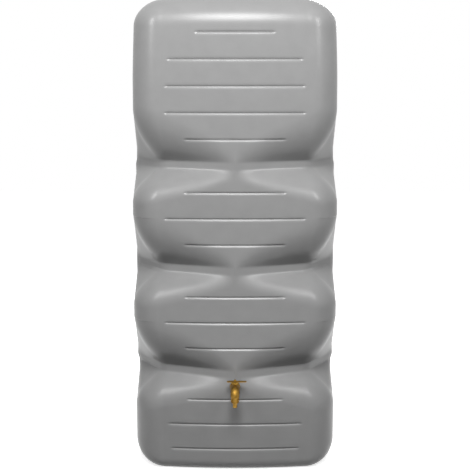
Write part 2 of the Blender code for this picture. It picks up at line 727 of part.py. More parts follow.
def make_spout():
    """The bend that screws into the barrel and turns the water down, with a thread for the hose nut."""
    arc_steps = 6
    outlet_end = -BEND_RADIUS - SPOUT_THREAD_LENGTH
    path = [(BARREL_END - SPIGOT_LENGTH + GAP, 0.0, 0.0), (BARREL_END + GAP, 0.0, 0.0), (BEND_START, 0.0, 0.0)]
    for i in range(1, arc_steps + 1):
        a = i / arc_steps * math.pi / 2
        path.append((BEND_START + BEND_RADIUS * math.sin(a), -BEND_RADIUS * (1 - math.cos(a)), a))
    path.append((SPOUT_REACH, outlet_end, math.pi / 2))

    def circle(place, radius, segments=20):
        reach, drop, turn = place
        ring = []
        for i in range(segments):
            a = 2 * math.pi * i / segments
            across, up = radius * math.cos(a), radius * math.sin(a)
            ring.append((across, -reach - up * math.sin(turn), drop + up * math.cos(turn)))
        return ring

    spigot_r = CHAMBER_R - GAP
    outer = [circle(path[0], spigot_r), circle(path[1], spigot_r)]
    outer += [circle(place, BARREL_R) for place in path[1:-1]]
    outer += [circle(path[-2], SPOUT_THREAD_R), circle(path[-1], SPOUT_THREAD_R)]
    inner = [circle(place, BORE_R) for place in path]
    bm = bmesh.new()
    loops = skin(bm, outer + inner[::-1], close=False)
    for i in range(len(loops[0])):
        j = (i + 1) % len(loops[0])
        bm.faces.new((loops[-1][i], loops[-1][j], loops[0][j], loops[0][i]))
    spout = add_object("tap_spout", bm, "brass")
    spout.location = (0, PAD_FACE_Y, TAP_Z)


def make_hose_end():
    """Washer, hose tail and the nut that clamps them under the spout."""
    washer_high = -BEND_RADIUS - SPOUT_THREAD_LENGTH - GAP
    washer = ring_profile(BORE_R, SPOUT_THREAD_R, washer_high - HOSE_WASHER_THICK, washer_high)
    turned("hose_washer", washer, "black_rubber", spout_axis)
    collar_high = washer_high - HOSE_WASHER_THICK - GAP
    collar_low = collar_high - TAIL_COLLAR
    tail_low = collar_low - UNION_LIP - TAIL_LENGTH
    profile = [(TAIL_BORE_R, collar_high), (SPOUT_THREAD_R, collar_high), (SPOUT_THREAD_R, collar_low)]
    barbs_high = collar_low - UNION_LIP - 2 * GAP
    pitch = (barbs_high - tail_low) / TAIL_BARBS
    profile.append((TAIL_R, collar_low))
    for i in range(TAIL_BARBS):
        high = barbs_high - i * pitch
        profile += [(TAIL_R, high), (TAIL_R - BARB_DEPTH, high - pitch + GAP)]
    profile += [(TAIL_BORE_R, tail_low + GAP)]
    turned("hose_tail", profile, "brass", spout_axis)

    nut_high = -BEND_RADIUS - GAP
    lip_high = collar_low - GAP
    thread_r = SPOUT_THREAD_R + THREAD_CLEARANCE
    nut = [
        (thread_r, nut_high),
        (UNION_R - UNION_CHAMFER, nut_high),
        (UNION_R, nut_high - UNION_CHAMFER),
        (UNION_R, lip_high - UNION_LIP + UNION_CHAMFER),
        (UNION_R - UNION_CHAMFER, lip_high - UNION_LIP),
        (TAIL_R + THREAD_CLEARANCE, lip_high - UNION_LIP),
        (TAIL_R + THREAD_CLEARANCE, lip_high),
        (thread_r, lip_high),
    ]
    turned("hose_nut", nut, "brass", spout_axis, 24)


# ---------------------------------------------------------------- the wall angles


def make_wall_angle(side, word):
    """A steel angle on the tank's top, the screw that holds it and the brass bush for that screw."""
    centre = add_empty(f"angle_axis_{word}", (side * ANGLE_X, BACK_Y - SCREW_FROM_BACK, BLOCK_TOP_Z))
    half = ANGLE_WIDTH / 2
    back, front = SCREW_FROM_BACK, SCREW_FROM_BACK - ANGLE_LEG
    angle = add_object(
        f"wall_angle_{word}",
        box((-half, front, GAP), (half, back, GAP + ANGLE_THICK)),
        "zinc_steel",
        centre,
    )
    leg = box((-half, back - ANGLE_THICK, GAP + ANGLE_THICK / 2), (half, back, GAP + ANGLE_UP))
    combine(angle, add_cutter(f"angle_leg_{word}", leg, centre), "UNION")
    screw_hole = prism(16, SCREW_R + GAP, -CUT_PAST, CUT_PAST)
    combine(angle, add_cutter(f"screw_hole_{word}", screw_hole, centre), "DIFFERENCE")
    wall_hole = add_cutter(f"wall_hole_{word}", prism(16, ANGLE_HOLE_R, -CUT_PAST, CUT_PAST), centre)
    wall_hole.rotation_euler = (math.pi / 2, 0, 0)
    wall_hole.location = (0, back, GAP + ANGLE_HOLE_UP)
    combine(angle, wall_hole, "DIFFERENCE")

    bush = ring_profile(SCREW_R + GAP, BUSH_R, -BUSH_LENGTH, 0)
    turned(f"angle_bush_{word}", bush, "brass", centre, 12)
    under_head = 2 * GAP + ANGLE_THICK
    head_top = under_head + SCREW_HEAD_THICK
    screw = [
        (0, under_head - SCREW_LENGTH),
        (SCREW_R, under_head - SCREW_LENGTH),
        (SCREW_R, under_head),
        (SCREW_HEAD_R, under_head),
        (SCREW_HEAD_R, head_top - SCREW_CHAMFER),
        (SCREW_HEAD_R * SCREW_TOP_SHARE, head_top),
        (0, head_top),
    ]
    turned(f"angle_screw_{word}", screw, "zinc_steel", centre, 16)


for old in list(bpy.data.objects):
    bpy.data.objects.remove(old)

tap_axis = add_empty("tap_axis", (0, PAD_FACE_Y, TAP_Z), (math.pi / 2, 0, 0))
stem_axis = add_empty("stem_axis", (0, PAD_FACE_Y - STEM_REACH, TAP_Z))
spout_axis = add_empty("spout_axis", (0, PAD_FACE_Y - SPOUT_REACH, TAP_Z))

make_tank()
make_lid()
make_wall_fixing()
make_tap_body()
make_ball_and_seats()
make_stem_and_lever()
make_gland()
make_spout()
make_hose_end()
make_wall_angle(-1, "left")
make_wall_angle(1, "right")
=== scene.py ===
"""Looks of the slim wall rain barrel: the moulded tank with its waists and grooves, the push-on filler lid,
the brass lever tap with its hose end, and the steel wall angles. Metres, +Z up, front towards -Y.
"""

import json
import math

import bpy
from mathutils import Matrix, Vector


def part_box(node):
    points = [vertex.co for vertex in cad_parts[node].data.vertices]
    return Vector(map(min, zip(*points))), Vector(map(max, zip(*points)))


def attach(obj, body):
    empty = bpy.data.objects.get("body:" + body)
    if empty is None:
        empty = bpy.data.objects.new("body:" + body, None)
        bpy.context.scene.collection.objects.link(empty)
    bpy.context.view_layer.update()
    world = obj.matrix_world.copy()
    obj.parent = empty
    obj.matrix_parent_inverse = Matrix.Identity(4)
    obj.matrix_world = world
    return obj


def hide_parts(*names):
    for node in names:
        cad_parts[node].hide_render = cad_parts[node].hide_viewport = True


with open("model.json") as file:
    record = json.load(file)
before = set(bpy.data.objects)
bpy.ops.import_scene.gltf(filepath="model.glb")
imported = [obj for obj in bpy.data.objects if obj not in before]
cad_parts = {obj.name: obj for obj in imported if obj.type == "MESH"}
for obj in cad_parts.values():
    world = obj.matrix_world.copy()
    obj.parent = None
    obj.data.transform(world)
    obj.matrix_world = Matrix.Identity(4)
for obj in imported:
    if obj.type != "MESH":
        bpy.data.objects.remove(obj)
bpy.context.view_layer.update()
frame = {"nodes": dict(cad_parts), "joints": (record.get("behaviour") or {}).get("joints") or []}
bpy.ops.object.select_all(action="DESELECT")

MM = 0.001

# ---- the camera, level with the top bulge, in front of the tank and looking slightly down ----
CAMERA_PLACE = (0.0, -4.225, 1.528)
CAMERA_TILT = 6.5  # degrees below the horizon
CAMERA_LENS = 82.6
CAMERA_DROP = -0.077  # the picture's centre lies this share of its width below the lens axis

bpy.ops.object.camera_add(location=CAMERA_PLACE, rotation=(math.radians(90 - CAMERA_TILT), 0, 0))
camera = bpy.context.object
camera.data.sensor_width = 36.0
camera.data.lens = CAMERA_LENS
camera.data.shift_y = CAMERA_DROP
bpy.context.scene.camera = camera
bpy.context.scene.view_settings.view_transform = "Standard"

# ---- sizes of the tank: the overall ones from the frame, the rest as the design has them ----
shell_low, shell_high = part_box("tank_shell")
TANK_HEIGHT = shell_high.z
HALF_WIDTH = shell_high.x
BACK_Y = shell_high.y
FRONT_Y = -BACK_Y
PAD_FACE_Y = shell_low.y
WALL = 5.5 * MM
TOP_NARROWER = 0.004
FOOT_NARROWER = 0.006
TOP_DRAFT = 0.008
TOP_DRAFT_LENGTH = 0.330
FRONT_BOW_RADIUS = 2.0
CORNER_ACROSS = 0.112
CORNER_DEEP = 0.125
BACK_CORNER = 0.030
TOP_ROUND = 0.108
FOOT_ROUND_SIDE = 0.100
FOOT_ROUND_FRONT = 0.045
BACK_EDGE_ROUND = 0.030
CROWN = 0.006
FOOT_LEAN = 0.07
FOOT_LEAN_TOP = 0.33
ROUND_TIGHTENS = 0.75  # share of the corner radius lost where the top or foot is fully rounded in

# ---- grooves and waists ----
FIRST_GROOVE_Z = 0.090
TOP_MARGIN = 0.134
GROOVE_STEPS = 16
GROOVE_PITCH = (TANK_HEIGHT - TOP_MARGIN - FIRST_GROOVE_Z) / GROOVE_STEPS
WAIST_Z = tuple(FIRST_GROOVE_Z + GROOVE_PITCH * step for step in (3, 7, 11))
GROOVE_HALF_LENGTHS = {
    0: 0.247, 1: 0.258, 2: 0.185,
    4: 0.192, 5: 0.270, 6: 0.192,
    8: 0.192, 9: 0.270, 10: 0.192,
    12: 0.192, 13: 0.266, 14: 0.264, 15: 0.254, 16: 0.150,
}  # fmt: skip
GROOVE_HALF_HEIGHT = 7 * MM
GROOVE_DEPTH = 3.8 * MM
BAND_HALF = 0.014
GABLE_SLOPE = 0.40
GABLE_CORNER = 0.030
WAIST_SIDE_END = 0.105
WAIST_SIDE_SHARE = 2 / 3
FLANK_LEAST = 0.028
UNDERSIDE_RATIO = 0.95  # height of a flank over the depth of its recess, under a bulge
SHOULDER_RATIO = 0.64  # and on top of the next one
UNDERSIDE_STRAIGHT = 0.30  # share of a flank that is straight, under a bulge
SHOULDER_STRAIGHT = 0.50  # and on top of the next one
CREASE_ROUND = 4 * MM  # half the height over which a waist's flat strip turns into its flanks
BAND_GROWS = 0.4  # how much wider the strip is on the inside, as a share of the wall

# ---- fineness of the tank's surface ----
FRONT_COLUMNS = 48
CORNER_COLUMNS = 16
SIDE_COLUMNS = 9
BACK_CORNER_COLUMNS = 5
BACK_COLUMNS = 4
ROUND_RINGS = 18
PLAIN_STEP = 8 * MM
FLANK_STEP = 5 * MM
FLANK_REACH = 0.14  # height above and below a waist that takes the finer step
INNER_STEP = 30 * MM

# ---- filler neck ----
NECK_FROM_BACK_EDGE = 0.027
NECK_INNER_R = 0.0695
NECK_OUTER_R = NECK_INNER_R + 5 * MM
WELL_LIP_R = NECK_OUTER_R + 28.5 * MM
WELL_FLOOR_R = WELL_LIP_R - 3 * MM
WELL_FLOOR_Z = TANK_HEIGHT - 0.032
NECK_RIM_Z = TANK_HEIGHT - 15 * MM
NECK_Y = BACK_Y - BACK_EDGE_ROUND - WELL_LIP_R - NECK_FROM_BACK_EDGE
TOP_EDGE_HALF = HALF_WIDTH - TOP_NARROWER - TOP_DRAFT - TOP_ROUND

# ---- tap: heights and radii about its own axes, as the design has them ----
joints = {joint["name"]: joint for joint in frame["joints"]}
STEM_AXIS = Vector(joints["tap_lever_turn"]["pos_m"])
TAP_Z = STEM_AXIS.z
SPOUT_Y = joints["hose_nut_turn"]["pos_m"][1]
GAP = 0.3 * MM
BORE_R = 7.5 * MM
THREAD_R = 13.2 * MM
HOLE_R = THREAD_R + 0.4 * MM
WASHER_R = 19.0 * MM
WASHER_THICK = 3.0 * MM
PAD_R = 23.5 * MM
PAD_BACK = 12.5 * MM
LOCK_NUT_R = 20.0 * MM
LOCK_NUT_THICK = 8.0 * MM
CHAMBER_R = 12.5 * MM
CHAMBER_HALF = 13.0 * MM
BARREL_R = 17.0 * MM
STEM_REACH = PAD_FACE_Y - STEM_AXIS.y
SPIGOT = 5.0 * MM
BARREL_END = STEM_REACH + CHAMBER_HALF + SPIGOT
BEND_START = BARREL_END + 3.0 * MM
BEND_RADIUS = 20.0 * MM
BOSS_R = 11.0 * MM
BOSS_TOP = 18.5 * MM
PACKING_R = 7.0 * MM
PACKING_FLOOR = 14.0 * MM
STEM_R = 4.5 * MM
STEM_TOP_R = 3.5 * MM
SPOUT_THREAD_R = 11.0 * MM
SPOUT_THREAD_LENGTH = 18.0 * MM
SPOUT_THREAD_TURNS = 12
NUT_COLUMNS = 72  # faces round the hose nut; every second one is a finger flute
TAIL_BORE_R = 6.0 * MM

# ---- wall angles ----
ANGLE_X = 0.200
SCREW_FROM_BACK = 0.032
ANGLE_THICK = 2.5 * MM
BUSH_R = 5.5 * MM
BUSH_LENGTH = 0.013
BLOCK_HALF_X = 0.018
BLOCK_FRONT = 0.052
BLOCK_BACK = 0.012
BLOCK_THICK = 0.021
BLOCK_TOP_Z = TANK_HEIGHT - CROWN * (ANGLE_X / TOP_EDGE_HALF) ** 2 + 2.5 * MM


# ---------------------------------------------------------------- materials


def linear(hex_colour):
    """An sRGB hex colour as the linear values that a shader takes."""
    values = [int(hex_colour[i : i + 2], 16) / 255 for i in (1, 3, 5)]
    return tuple(v / 12.92 if v <= 0.04045 else ((v + 0.055) / 1.055) ** 2.4 for v in values) + (1.0,)


def add_node(tree, kind, inputs=None, **settings):
    """Adds a node with its settings. An input is a plain value or the output that feeds it."""
    made = tree.nodes.new(kind)
    for name, value in settings.items():
        setattr(made, name, value)
    for name, value in (inputs or {}).items():
        if isinstance(value, bpy.types.NodeSocket):
            tree.links.new(value, made.inputs[name])
        else:
            made.inputs[name].default_value = value
    return made


def new_material(name):
    """An empty Principled material: its tree, its shader and its Object coordinates."""
    made = bpy.data.materials.new(name)
    made.use_nodes = True
    tree = made.node_tree
    coordinates = add_node(tree, "ShaderNodeTexCoord").outputs["Object"]
    return made, tree, tree.nodes["Principled BSDF"], coordinates


def two_tones(tree, factor, low, high, first, second):
    """A ramp between two colours over part of a pattern's range."""
    ramp = add_node(tree, "ShaderNodeValToRGB", {"Fac": factor})
    ends = ramp.color_ramp.elements
    ends[0].position, ends[0].color = low, linear(first)
    ends[1].position, ends[1].color = high, linear(second)
    return ramp.outputs["Color"]


def between(tree, factor, low, high):
    """A pattern's 0 to 1 mapped to a range of values."""
    mapped = add_node(
        tree, "ShaderNodeMapRange", {"Value": factor, "To Min": low, "To Max": high}
    )
    return mapped.outputs["Result"]


def moulded_polyethylene():
    """Blow-moulded grey polyethylene: satin, waxy, evenly coloured, with a fine grain from the mould."""
    made, tree, shader, coordinates = new_material("moulded_polyethylene")
    # pigment clouds about 60 mm across, barely lighter and darker than the body colour
    clouds = add_node(
        tree, "ShaderNodeTexNoise",
        {"Vector": coordinates, "Scale": 16.0, "Detail": 3.0, "Roughness": 0.5},
    )  # fmt: skip
    colour = two_tones(tree, clouds.outputs["Fac"], 0.3, 0.7, "#858585", "#898989")
    tree.links.new(colour, shader.inputs["Base Color"])
    # the mould's grain is under a millimetre; it is drawn at 2.5 mm so that it shows
    grain = add_node(
        tree, "ShaderNodeTexNoise",
        {"Vector": coordinates, "Scale": 400.0, "Detail": 2.0, "Roughness": 0.6},
    )  # fmt: skip
    # slow waves about 120 mm long, where the wall cooled unevenly
    waves = add_node(
        tree, "ShaderNodeTexNoise",
        {"Vector": coordinates, "Scale": 8.0, "Detail": 1.0, "Roughness": 0.4},
    )  # fmt: skip
    wavy = add_node(
        tree, "ShaderNodeBump",
        {"Height": waves.outputs["Fac"], "Strength": 0.12, "Distance": 0.5 * MM},
    )  # fmt: skip
    bump = add_node(
        tree, "ShaderNodeBump",
        {
            "Height": grain.outputs["Fac"],
            "Strength": 0.15,
            "Distance": 0.15 * MM,
            "Normal": wavy.outputs["Normal"],
        },
    )  # fmt: skip
    tree.links.new(bump.outputs["Normal"], shader.inputs["Normal"])
    tree.links.new(between(tree, grain.outputs["Fac"], 0.27, 0.35), shader.inputs["Roughness"])
    shader.inputs["IOR"].default_value = 1.5
    shader.inputs["Specular IOR Level"].default_value = 0.42
    return made


def brass(name, first, second, roughness, grain_scale, stretch):
    """Brass with a light tarnish. Stretching the grain along Z flattens it into the rings of turning."""
    made, tree, shader, coordinates = new_material(name)
    placed = add_node(tree, "ShaderNodeMapping", {"Vector": coordinates, "Scale": (1.0, 1.0, stretch)})
    grain = add_node(
        tree, "ShaderNodeTexNoise",
        {"Vector": placed.outputs["Vector"], "Scale": grain_scale, "Detail": 3.0, "Roughness": 0.55},
    )  # fmt: skip
    tarnish = add_node(
        tree, "ShaderNodeTexNoise", {"Vector": coordinates, "Scale": 90.0, "Detail": 4.0}
    )
    colour = two_tones(tree, tarnish.outputs["Fac"], 0.35, 0.65, first, second)
    tree.links.new(colour, shader.inputs["Base Color"])
    tree.links.new(
        between(tree, tarnish.outputs["Fac"], roughness + 0.06, roughness - 0.06),
        shader.inputs["Roughness"],
    )
    bump = add_node(
        tree, "ShaderNodeBump",
        {"Height": grain.outputs["Fac"], "Strength": 0.3, "Distance": 0.1 * MM},
    )  # fmt: skip
    tree.links.new(bump.outputs["Normal"], shader.inputs["Normal"])
    shader.inputs["Metallic"].default_value = 1.0
    return made


def moulded_rubber():
    """Moulded EPDM rubber: nearly black, dull, with a dusty bloom."""
    made, tree, shader, coordinates = new_material("moulded_rubber")
    bloom = add_node(tree, "ShaderNodeTexNoise", {"Vector": coordinates, "Scale": 260.0, "Detail": 3.0})
    colour = two_tones(tree, bloom.outputs["Fac"], 0.35, 0.75, "#191919", "#2B2B2A")
    tree.links.new(colour, shader.inputs["Base Color"])
    bump = add_node(
        tree, "ShaderNodeBump",
        {"Height": bloom.outputs["Fac"], "Strength": 0.3, "Distance": 0.1 * MM},
    )  # fmt: skip
    tree.links.new(bump.outputs["Normal"], shader.inputs["Normal"])
    tree.links.new(between(tree, bloom.outputs["Fac"], 0.65, 0.8), shader.inputs["Roughness"])
    return made


def skived_ptfe():
    """Skived PTFE: waxy white with faint turning rings."""
    made, tree, shader, coordinates = new_material("skived_ptfe")
    rings = add_node(tree, "ShaderNodeTexNoise", {"Vector": coordinates, "Scale": 300.0, "Detail": 2.0})
    colour = two_tones(tree, rings.outputs["Fac"], 0.3, 0.7, "#E2E1DB", "#EFEEE9")
    tree.links.new(colour, shader.inputs["Base Color"])
    tree.links.new(between(tree, rings.outputs["Fac"], 0.4, 0.55), shader.inputs["Roughness"])
    shader.inputs["IOR"].default_value = 1.38
    return made


def polished_chrome():
    """Chromed brass ball: mirror bright, with hair-fine wiping marks."""
    made, tree, shader, coordinates = new_material("polished_chrome")
    wiped = add_node(tree, "ShaderNodeMapping", {"Vector": coordinates, "Scale": (40.0, 1.0, 40.0)})
    marks = add_node(
        tree, "ShaderNodeTexNoise", {"Vector": wiped.outputs["Vector"], "Scale": 60.0, "Detail": 2.0}
    )
    colour = two_tones(tree, marks.outputs["Fac"], 0.3, 0.7, "#D2D4D6", "#DEDFE0")
    tree.links.new(colour, shader.inputs["Base Color"])
    tree.links.new(between(tree, marks.outputs["Fac"], 0.06, 0.14), shader.inputs["Roughness"])
    shader.inputs["Metallic"].default_value = 1.0
    return made


def zinc_plate():
    """Zinc-plated pressed steel: pale, slightly blue and straw-coloured patches, satin."""
    made, tree, shader, coordinates = new_material("zinc_plate")
    patches = add_node(
        tree, "ShaderNodeTexVoronoi", {"Vector": coordinates, "Scale": 160.0}, feature="SMOOTH_F1"
    )
    clouds = add_node(tree, "ShaderNodeTexNoise", {"Vector": coordinates, "Scale": 70.0, "Detail": 3.0})
    colour = two_tones(tree, clouds.outputs["Fac"], 0.35, 0.65, "#A9AEB4", "#BDBBB2")
    tree.links.new(colour, shader.inputs["Base Color"])
    tree.links.new(between(tree, patches.outputs["Distance"], 0.28, 0.46), shader.inputs["Roughness"])
    shader.inputs["Metallic"].default_value = 1.0
    return made


MATERIALS = {
    "grey_polyethylene": moulded_polyethylene(),
    # cast and bead-blasted: a fine pebbled skin, grains about 1 mm
    "cast_brass": brass("cast_brass", "#735825", "#8C6C31", 0.46, 900.0, 1.0),
    # turned on a lathe: rings about 0.3 mm apart, drawn at 0.7 mm so that they show
    "turned_brass": brass("turned_brass", "#7C5F29", "#967637", 0.38, 60.0, 24.0),
    "black_rubber": moulded_rubber(),
    "white_ptfe": skived_ptfe(),
    "chromed_brass": polished_chrome(),
    "zinc_steel": zinc_plate(),
}


# ---------------------------------------------------------------- tools for the pieces


def named(name):
    """Gives the new primitive its name."""
    piece = bpy.context.object
    piece.name = piece.data.name = name
    return piece


def rounded(points, steps=4):
    """A (radius, height, rounding) outline as (radius, height) points with each corner drawn as an arc."""
    drawn = []
    count = len(points)
    for i, (r, h, rounding) in enumerate(points):
        here = Vector((r, h))
        if not rounding:
            drawn.append(tuple(here))
            continue
        before = Vector(points[i - 1][:2]) - here
        after = Vector(points[(i + 1) % count][:2]) - here
        a = here + before.normalized() * rounding
        b = here + after.normalized() * rounding
        drawn += [curve_point(a, here, b, t) for t in shares(steps)]
    return drawn


def turn(name, outline, solid=False, segments=64):
    """Draws a circle out along an outline about Z. A solid keeps a face over each end; a ring closes."""
    bpy.ops.object.select_all(action="DESELECT")
    radius, height = outline[0]
    bpy.ops.mesh.primitive_circle_add(
        vertices=segments, radius=radius, location=(0, 0, height),
        fill_type="NGON" if solid else "NOTHING",
    )  # fmt: skip
    piece = named(name)
    bpy.ops.object.mode_set(mode="EDIT")
    bpy.ops.mesh.select_mode(type="VERT")
    bpy.ops.mesh.select_all(action="SELECT")
    rest = outline[1:] if solid else outline[1:] + outline[:1]
    for next_radius, next_height in rest:
        bpy.ops.mesh.extrude_region_move(
            TRANSFORM_OT_translate={"value": (0, 0, next_height - height)}
        )
        ratio = next_radius / radius
        bpy.ops.transform.resize(value=(ratio, ratio, 1), center_override=(0, 0, next_height))
        radius, height = next_radius, next_height
    bpy.ops.mesh.select_all(action="SELECT")
    bpy.ops.mesh.remove_doubles(threshold=1e-6)
    bpy.ops.mesh.normals_make_consistent(inside=False)
    bpy.ops.object.mode_set(mode="OBJECT")
    apply_place(piece)
    return piece


def block(name, low, high, bevel=0.0, segments=3):
    """A box between two corners, its edges rounded."""
    bpy.ops.object.select_all(action="DESELECT")
    low, high = Vector(low), Vector(high)
    bpy.ops.mesh.primitive_cube_add(size=1.0, location=(low + high) / 2, scale=high - low)
    piece = named(name)
    apply_place(piece)
    if bevel:
        soften(piece, bevel, segments)
    return piece


def only(piece):
    """Makes a piece the one that is selected and active."""
    bpy.ops.object.select_all(action="DESELECT")
    piece.select_set(True)
    bpy.context.view_layer.objects.active = piece


def apply_place(piece):
    """Brings a piece's object to the origin, with its place in its mesh."""
    only(piece)
    bpy.ops.object.transform_apply(location=True, rotation=True, scale=True)


def place(piece, location, tilt=(0, 0, 0)):
    """Turns a finished piece, moves it to its place and applies both."""
    piece.rotation_euler = tilt
    piece.location = location
    apply_place(piece)
    return piece


def add_modifier(piece, kind, **settings):
    """Adds a modifier and applies it."""
    modifier = piece.modifiers.new(kind.lower(), kind)
    for name, value in settings.items():
        setattr(modifier, name, value)
    only(piece)
    bpy.ops.object.modifier_apply(modifier=modifier.name)


def soften(piece, width, segments=3, angle=30.0):
    """Rounds the edges that turn by more than the angle."""
    add_modifier(
        piece, "BEVEL", width=width, segments=segments, limit_method="ANGLE",
        angle_limit=math.radians(angle), use_clamp_overlap=True,
    )  # fmt: skip


def combine(piece, other, operation):
    """Joins, cuts or intersects a piece with another one, which is used up."""
    add_modifier(piece, "BOOLEAN", operation=operation, object=other, solver="EXACT")
    bpy.data.objects.remove(other)


def hand_in(piece, finish, body, *nodes, smooth=30.0):
    """Gives a finished piece its shading, material and body, and hides the design nodes that it stands for.
    """
    piece.data.materials.clear()
    piece.data.materials.append(MATERIALS[finish])
    only(piece)
    bpy.ops.object.shade_smooth_by_angle(angle=math.radians(smooth))
    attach(piece, body)
    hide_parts(*nodes)
    bpy.ops.object.select_all(action="DESELECT")


def through_rings(name, rings, ends=()):
    """A piece whose skin runs from ring to ring, with a face over each end, or round to the first."""
    count = len(rings[0])
    faces = list(ends)
    for k in range(len(rings) - 1 if ends else len(rings)):
        a, b = k * count, (k + 1) % len(rings) * count
        for i in range(count):
            j = (i + 1) % count
            faces.append((a + i, a + j, b + j, b + i))
    mesh = bpy.data.meshes.new(name)
    mesh.from_pydata([point for ring in rings for point in ring], [], faces)
    piece = bpy.data.objects.new(name, mesh)
    bpy.context.scene.collection.objects.link(piece)
    return piece


def shares(count):
    """The shares of the way at which so many equal steps start and end."""
    return [i / count for i in range(count + 1)]


def curve_point(a, b, c, t):
    """A point of the quadratic curve that leaves a towards b and reaches c."""
    return tuple(
        (1 - t) ** 2 * p + 2 * t * (1 - t) * q + t * t * r for p, q, r in zip(a, b, c)
    )


# ---------------------------------------------------------------- the tank's outline, as the design has it


def bow(x):
    """How far the bowed front falls back at a distance from its middle."""
    return FRONT_BOW_RADIUS - math.sqrt(FRONT_BOW_RADIUS**2 - x * x)


def back_stretch(half, back_y, radius):
    """The back corner and the back, from the end of the side to the middle of the back."""
    corner = [
        (
            half - radius * (1 - math.cos(t * math.pi / 2)),
            back_y - radius * (1 - math.sin(t * math.pi / 2)),
        )
        for t in shares(BACK_CORNER_COLUMNS)
    ]
    inner = corner[-1][0]
    return corner[1:] + [(inner * (1 - t), back_y) for t in shares(BACK_COLUMNS)[1:]]


def bulge_outline(half, front_y, back_y, across, deep, back_radius):
    """Half of a bulge's outline, from the middle of the front round to the middle of the back."""
    start = half - across
    front = [(start * t, front_y + bow(start * t)) for t in shares(FRONT_COLUMNS)]
    y0 = front[-1][1]
    corner = [
        (start + across * math.sin(t * math.pi / 2), y0 + deep * (1 - math.cos(t * math.pi / 2)))
        for t in shares(CORNER_COLUMNS)
    ]
    side_start, side_end = y0 + deep, back_y - back_radius
    side = [(half, side_start + (side_end - side_start) * t) for t in shares(SIDE_COLUMNS)]
    return front + corner[1:] + side[1:] + back_stretch(half, back_y, back_radius)


def waist_outline(half, front_y, back_y, across, back_radius):
    """Half of a waist's outline: a gable from the middle of the front, then a long slanted side."""
    knee = Vector((half - across, front_y + GABLE_SLOPE * (half - across)))
    hip = Vector((half, back_y - WAIST_SIDE_END))
    ridge = Vector((0.0, front_y))
    end = Vector((half, back_y - back_radius))
    before = knee + (ridge - knee).normalized() * GABLE_CORNER
    after = knee + (hip - knee).normalized() * GABLE_CORNER
    front = [tuple(ridge.lerp(before, t)) for t in shares(FRONT_COLUMNS)]
    corner = [curve_point(before, knee, after, t) for t in shares(CORNER_COLUMNS)]
    side = []
    for t in shares(SIDE_COLUMNS):
        if t <= WAIST_SIDE_SHARE:
            side.append(tuple(after.lerp(hip, t / WAIST_SIDE_SHARE)))
        else:
            side.append(tuple(hip.lerp(end, (t - WAIST_SIDE_SHARE) / (1 - WAIST_SIDE_SHARE))))
    return front + corner[1:] + side[1:] + back_stretch(half, back_y, back_radius)


def round_inset(height, radius):
    """How far a rounding draws the side in at a height above its start."""
    rise = min(max(radius - height, 0.0), radius)
    return radius - math.sqrt(radius**2 - rise**2)


def smooth(t):
    """A share from 0 to 1, eased at both ends."""
    t = min(max(t, 0.0), 1.0)
    return t * t * (3 - 2 * t)


def half_width_at(z):
    """Half width of the tank, which changes gently across the lowest and highest waists."""
    foot = 1 - smooth((z - WAIST_Z[0] + BAND_HALF) / (2 * BAND_HALF))
    top = smooth((z - WAIST_Z[-1] + BAND_HALF) / (2 * BAND_HALF))
    draft = TOP_DRAFT * smooth(1 - (TANK_HEIGHT - z) / TOP_DRAFT_LENGTH)
    return HALF_WIDTH - foot * FOOT_NARROWER - top * TOP_NARROWER - draft


def outlines_at(z, inset):
    """The bulge's and the waist's half outlines at a height, drawn in by the wall where inset is set."""
    low, high = z - inset, TANK_HEIGHT - inset - z
    foot = round_inset(low, FOOT_ROUND_SIDE - inset)
    top = round_inset(high, TOP_ROUND - inset)
    front = FRONT_Y + inset + FOOT_LEAN * max(0.0, FOOT_LEAN_TOP - z)
    front += round_inset(low, FOOT_ROUND_FRONT - inset) + top
    edge = BACK_EDGE_ROUND - inset
    back = BACK_Y - inset - round_inset(low, edge) - round_inset(high, edge)
    half = half_width_at(z) - inset - foot - top
    kept = 1 - ROUND_TIGHTENS * max(foot / FOOT_ROUND_SIDE, top / TOP_ROUND)
    across, deep = (CORNER_ACROSS - inset) * kept, (CORNER_DEEP - inset) * kept
    back_radius = (BACK_CORNER - inset) * kept
    bulge = bulge_outline(half, front, back, across, deep, back_radius)
    waist = waist_outline(half, front, back, across, back_radius)
    return bulge, waist


def recesses(inset):
    """How deep a waist lies under the bulges, at each column."""
    bulge, waist = outlines_at(WAIST_Z[1], inset)
    return [(Vector(b) - Vector(w)).length for b, w in zip(bulge, waist)]


def sink_share(station, straight):
    """Share of the recess at a station up a flank: straight at first, then blending into the bulge."""
    if station <= straight:
        return 1 - station
    run, left, over = 2 - 2 * straight, 1 - straight, station - straight
    return left - over + over * over * left / (run * run) if over < run else 0.0


def eased(beyond):
    """Height beyond a waist's flat strip, with the crease there rounded."""
    if beyond >= CREASE_ROUND:
        return beyond
    return max(beyond + CREASE_ROUND, 0.0) ** 2 / (4 * CREASE_ROUND)


def groove_sink(x, z):
    """Depth of the groove at a point of the front: a V with a rounded floor and round ends."""
    for step, half in GROOVE_HALF_LENGTHS.items():
        rise = z - FIRST_GROOVE_Z - GROOVE_PITCH * step
        if abs(rise) >= GROOVE_HALF_HEIGHT:
            continue
        half = min(half, half_width_at(z) - CORNER_ACROSS)
        past_end = max(0.0, abs(x) - half + GROOVE_HALF_HEIGHT)
        near = 1 - math.hypot(past_end, rise) / GROOVE_HALF_HEIGHT
        return GROOVE_DEPTH * min(smooth(near * 0.9) * 1.03, 1.0) if near > 0 else 0.0
    return 0.0


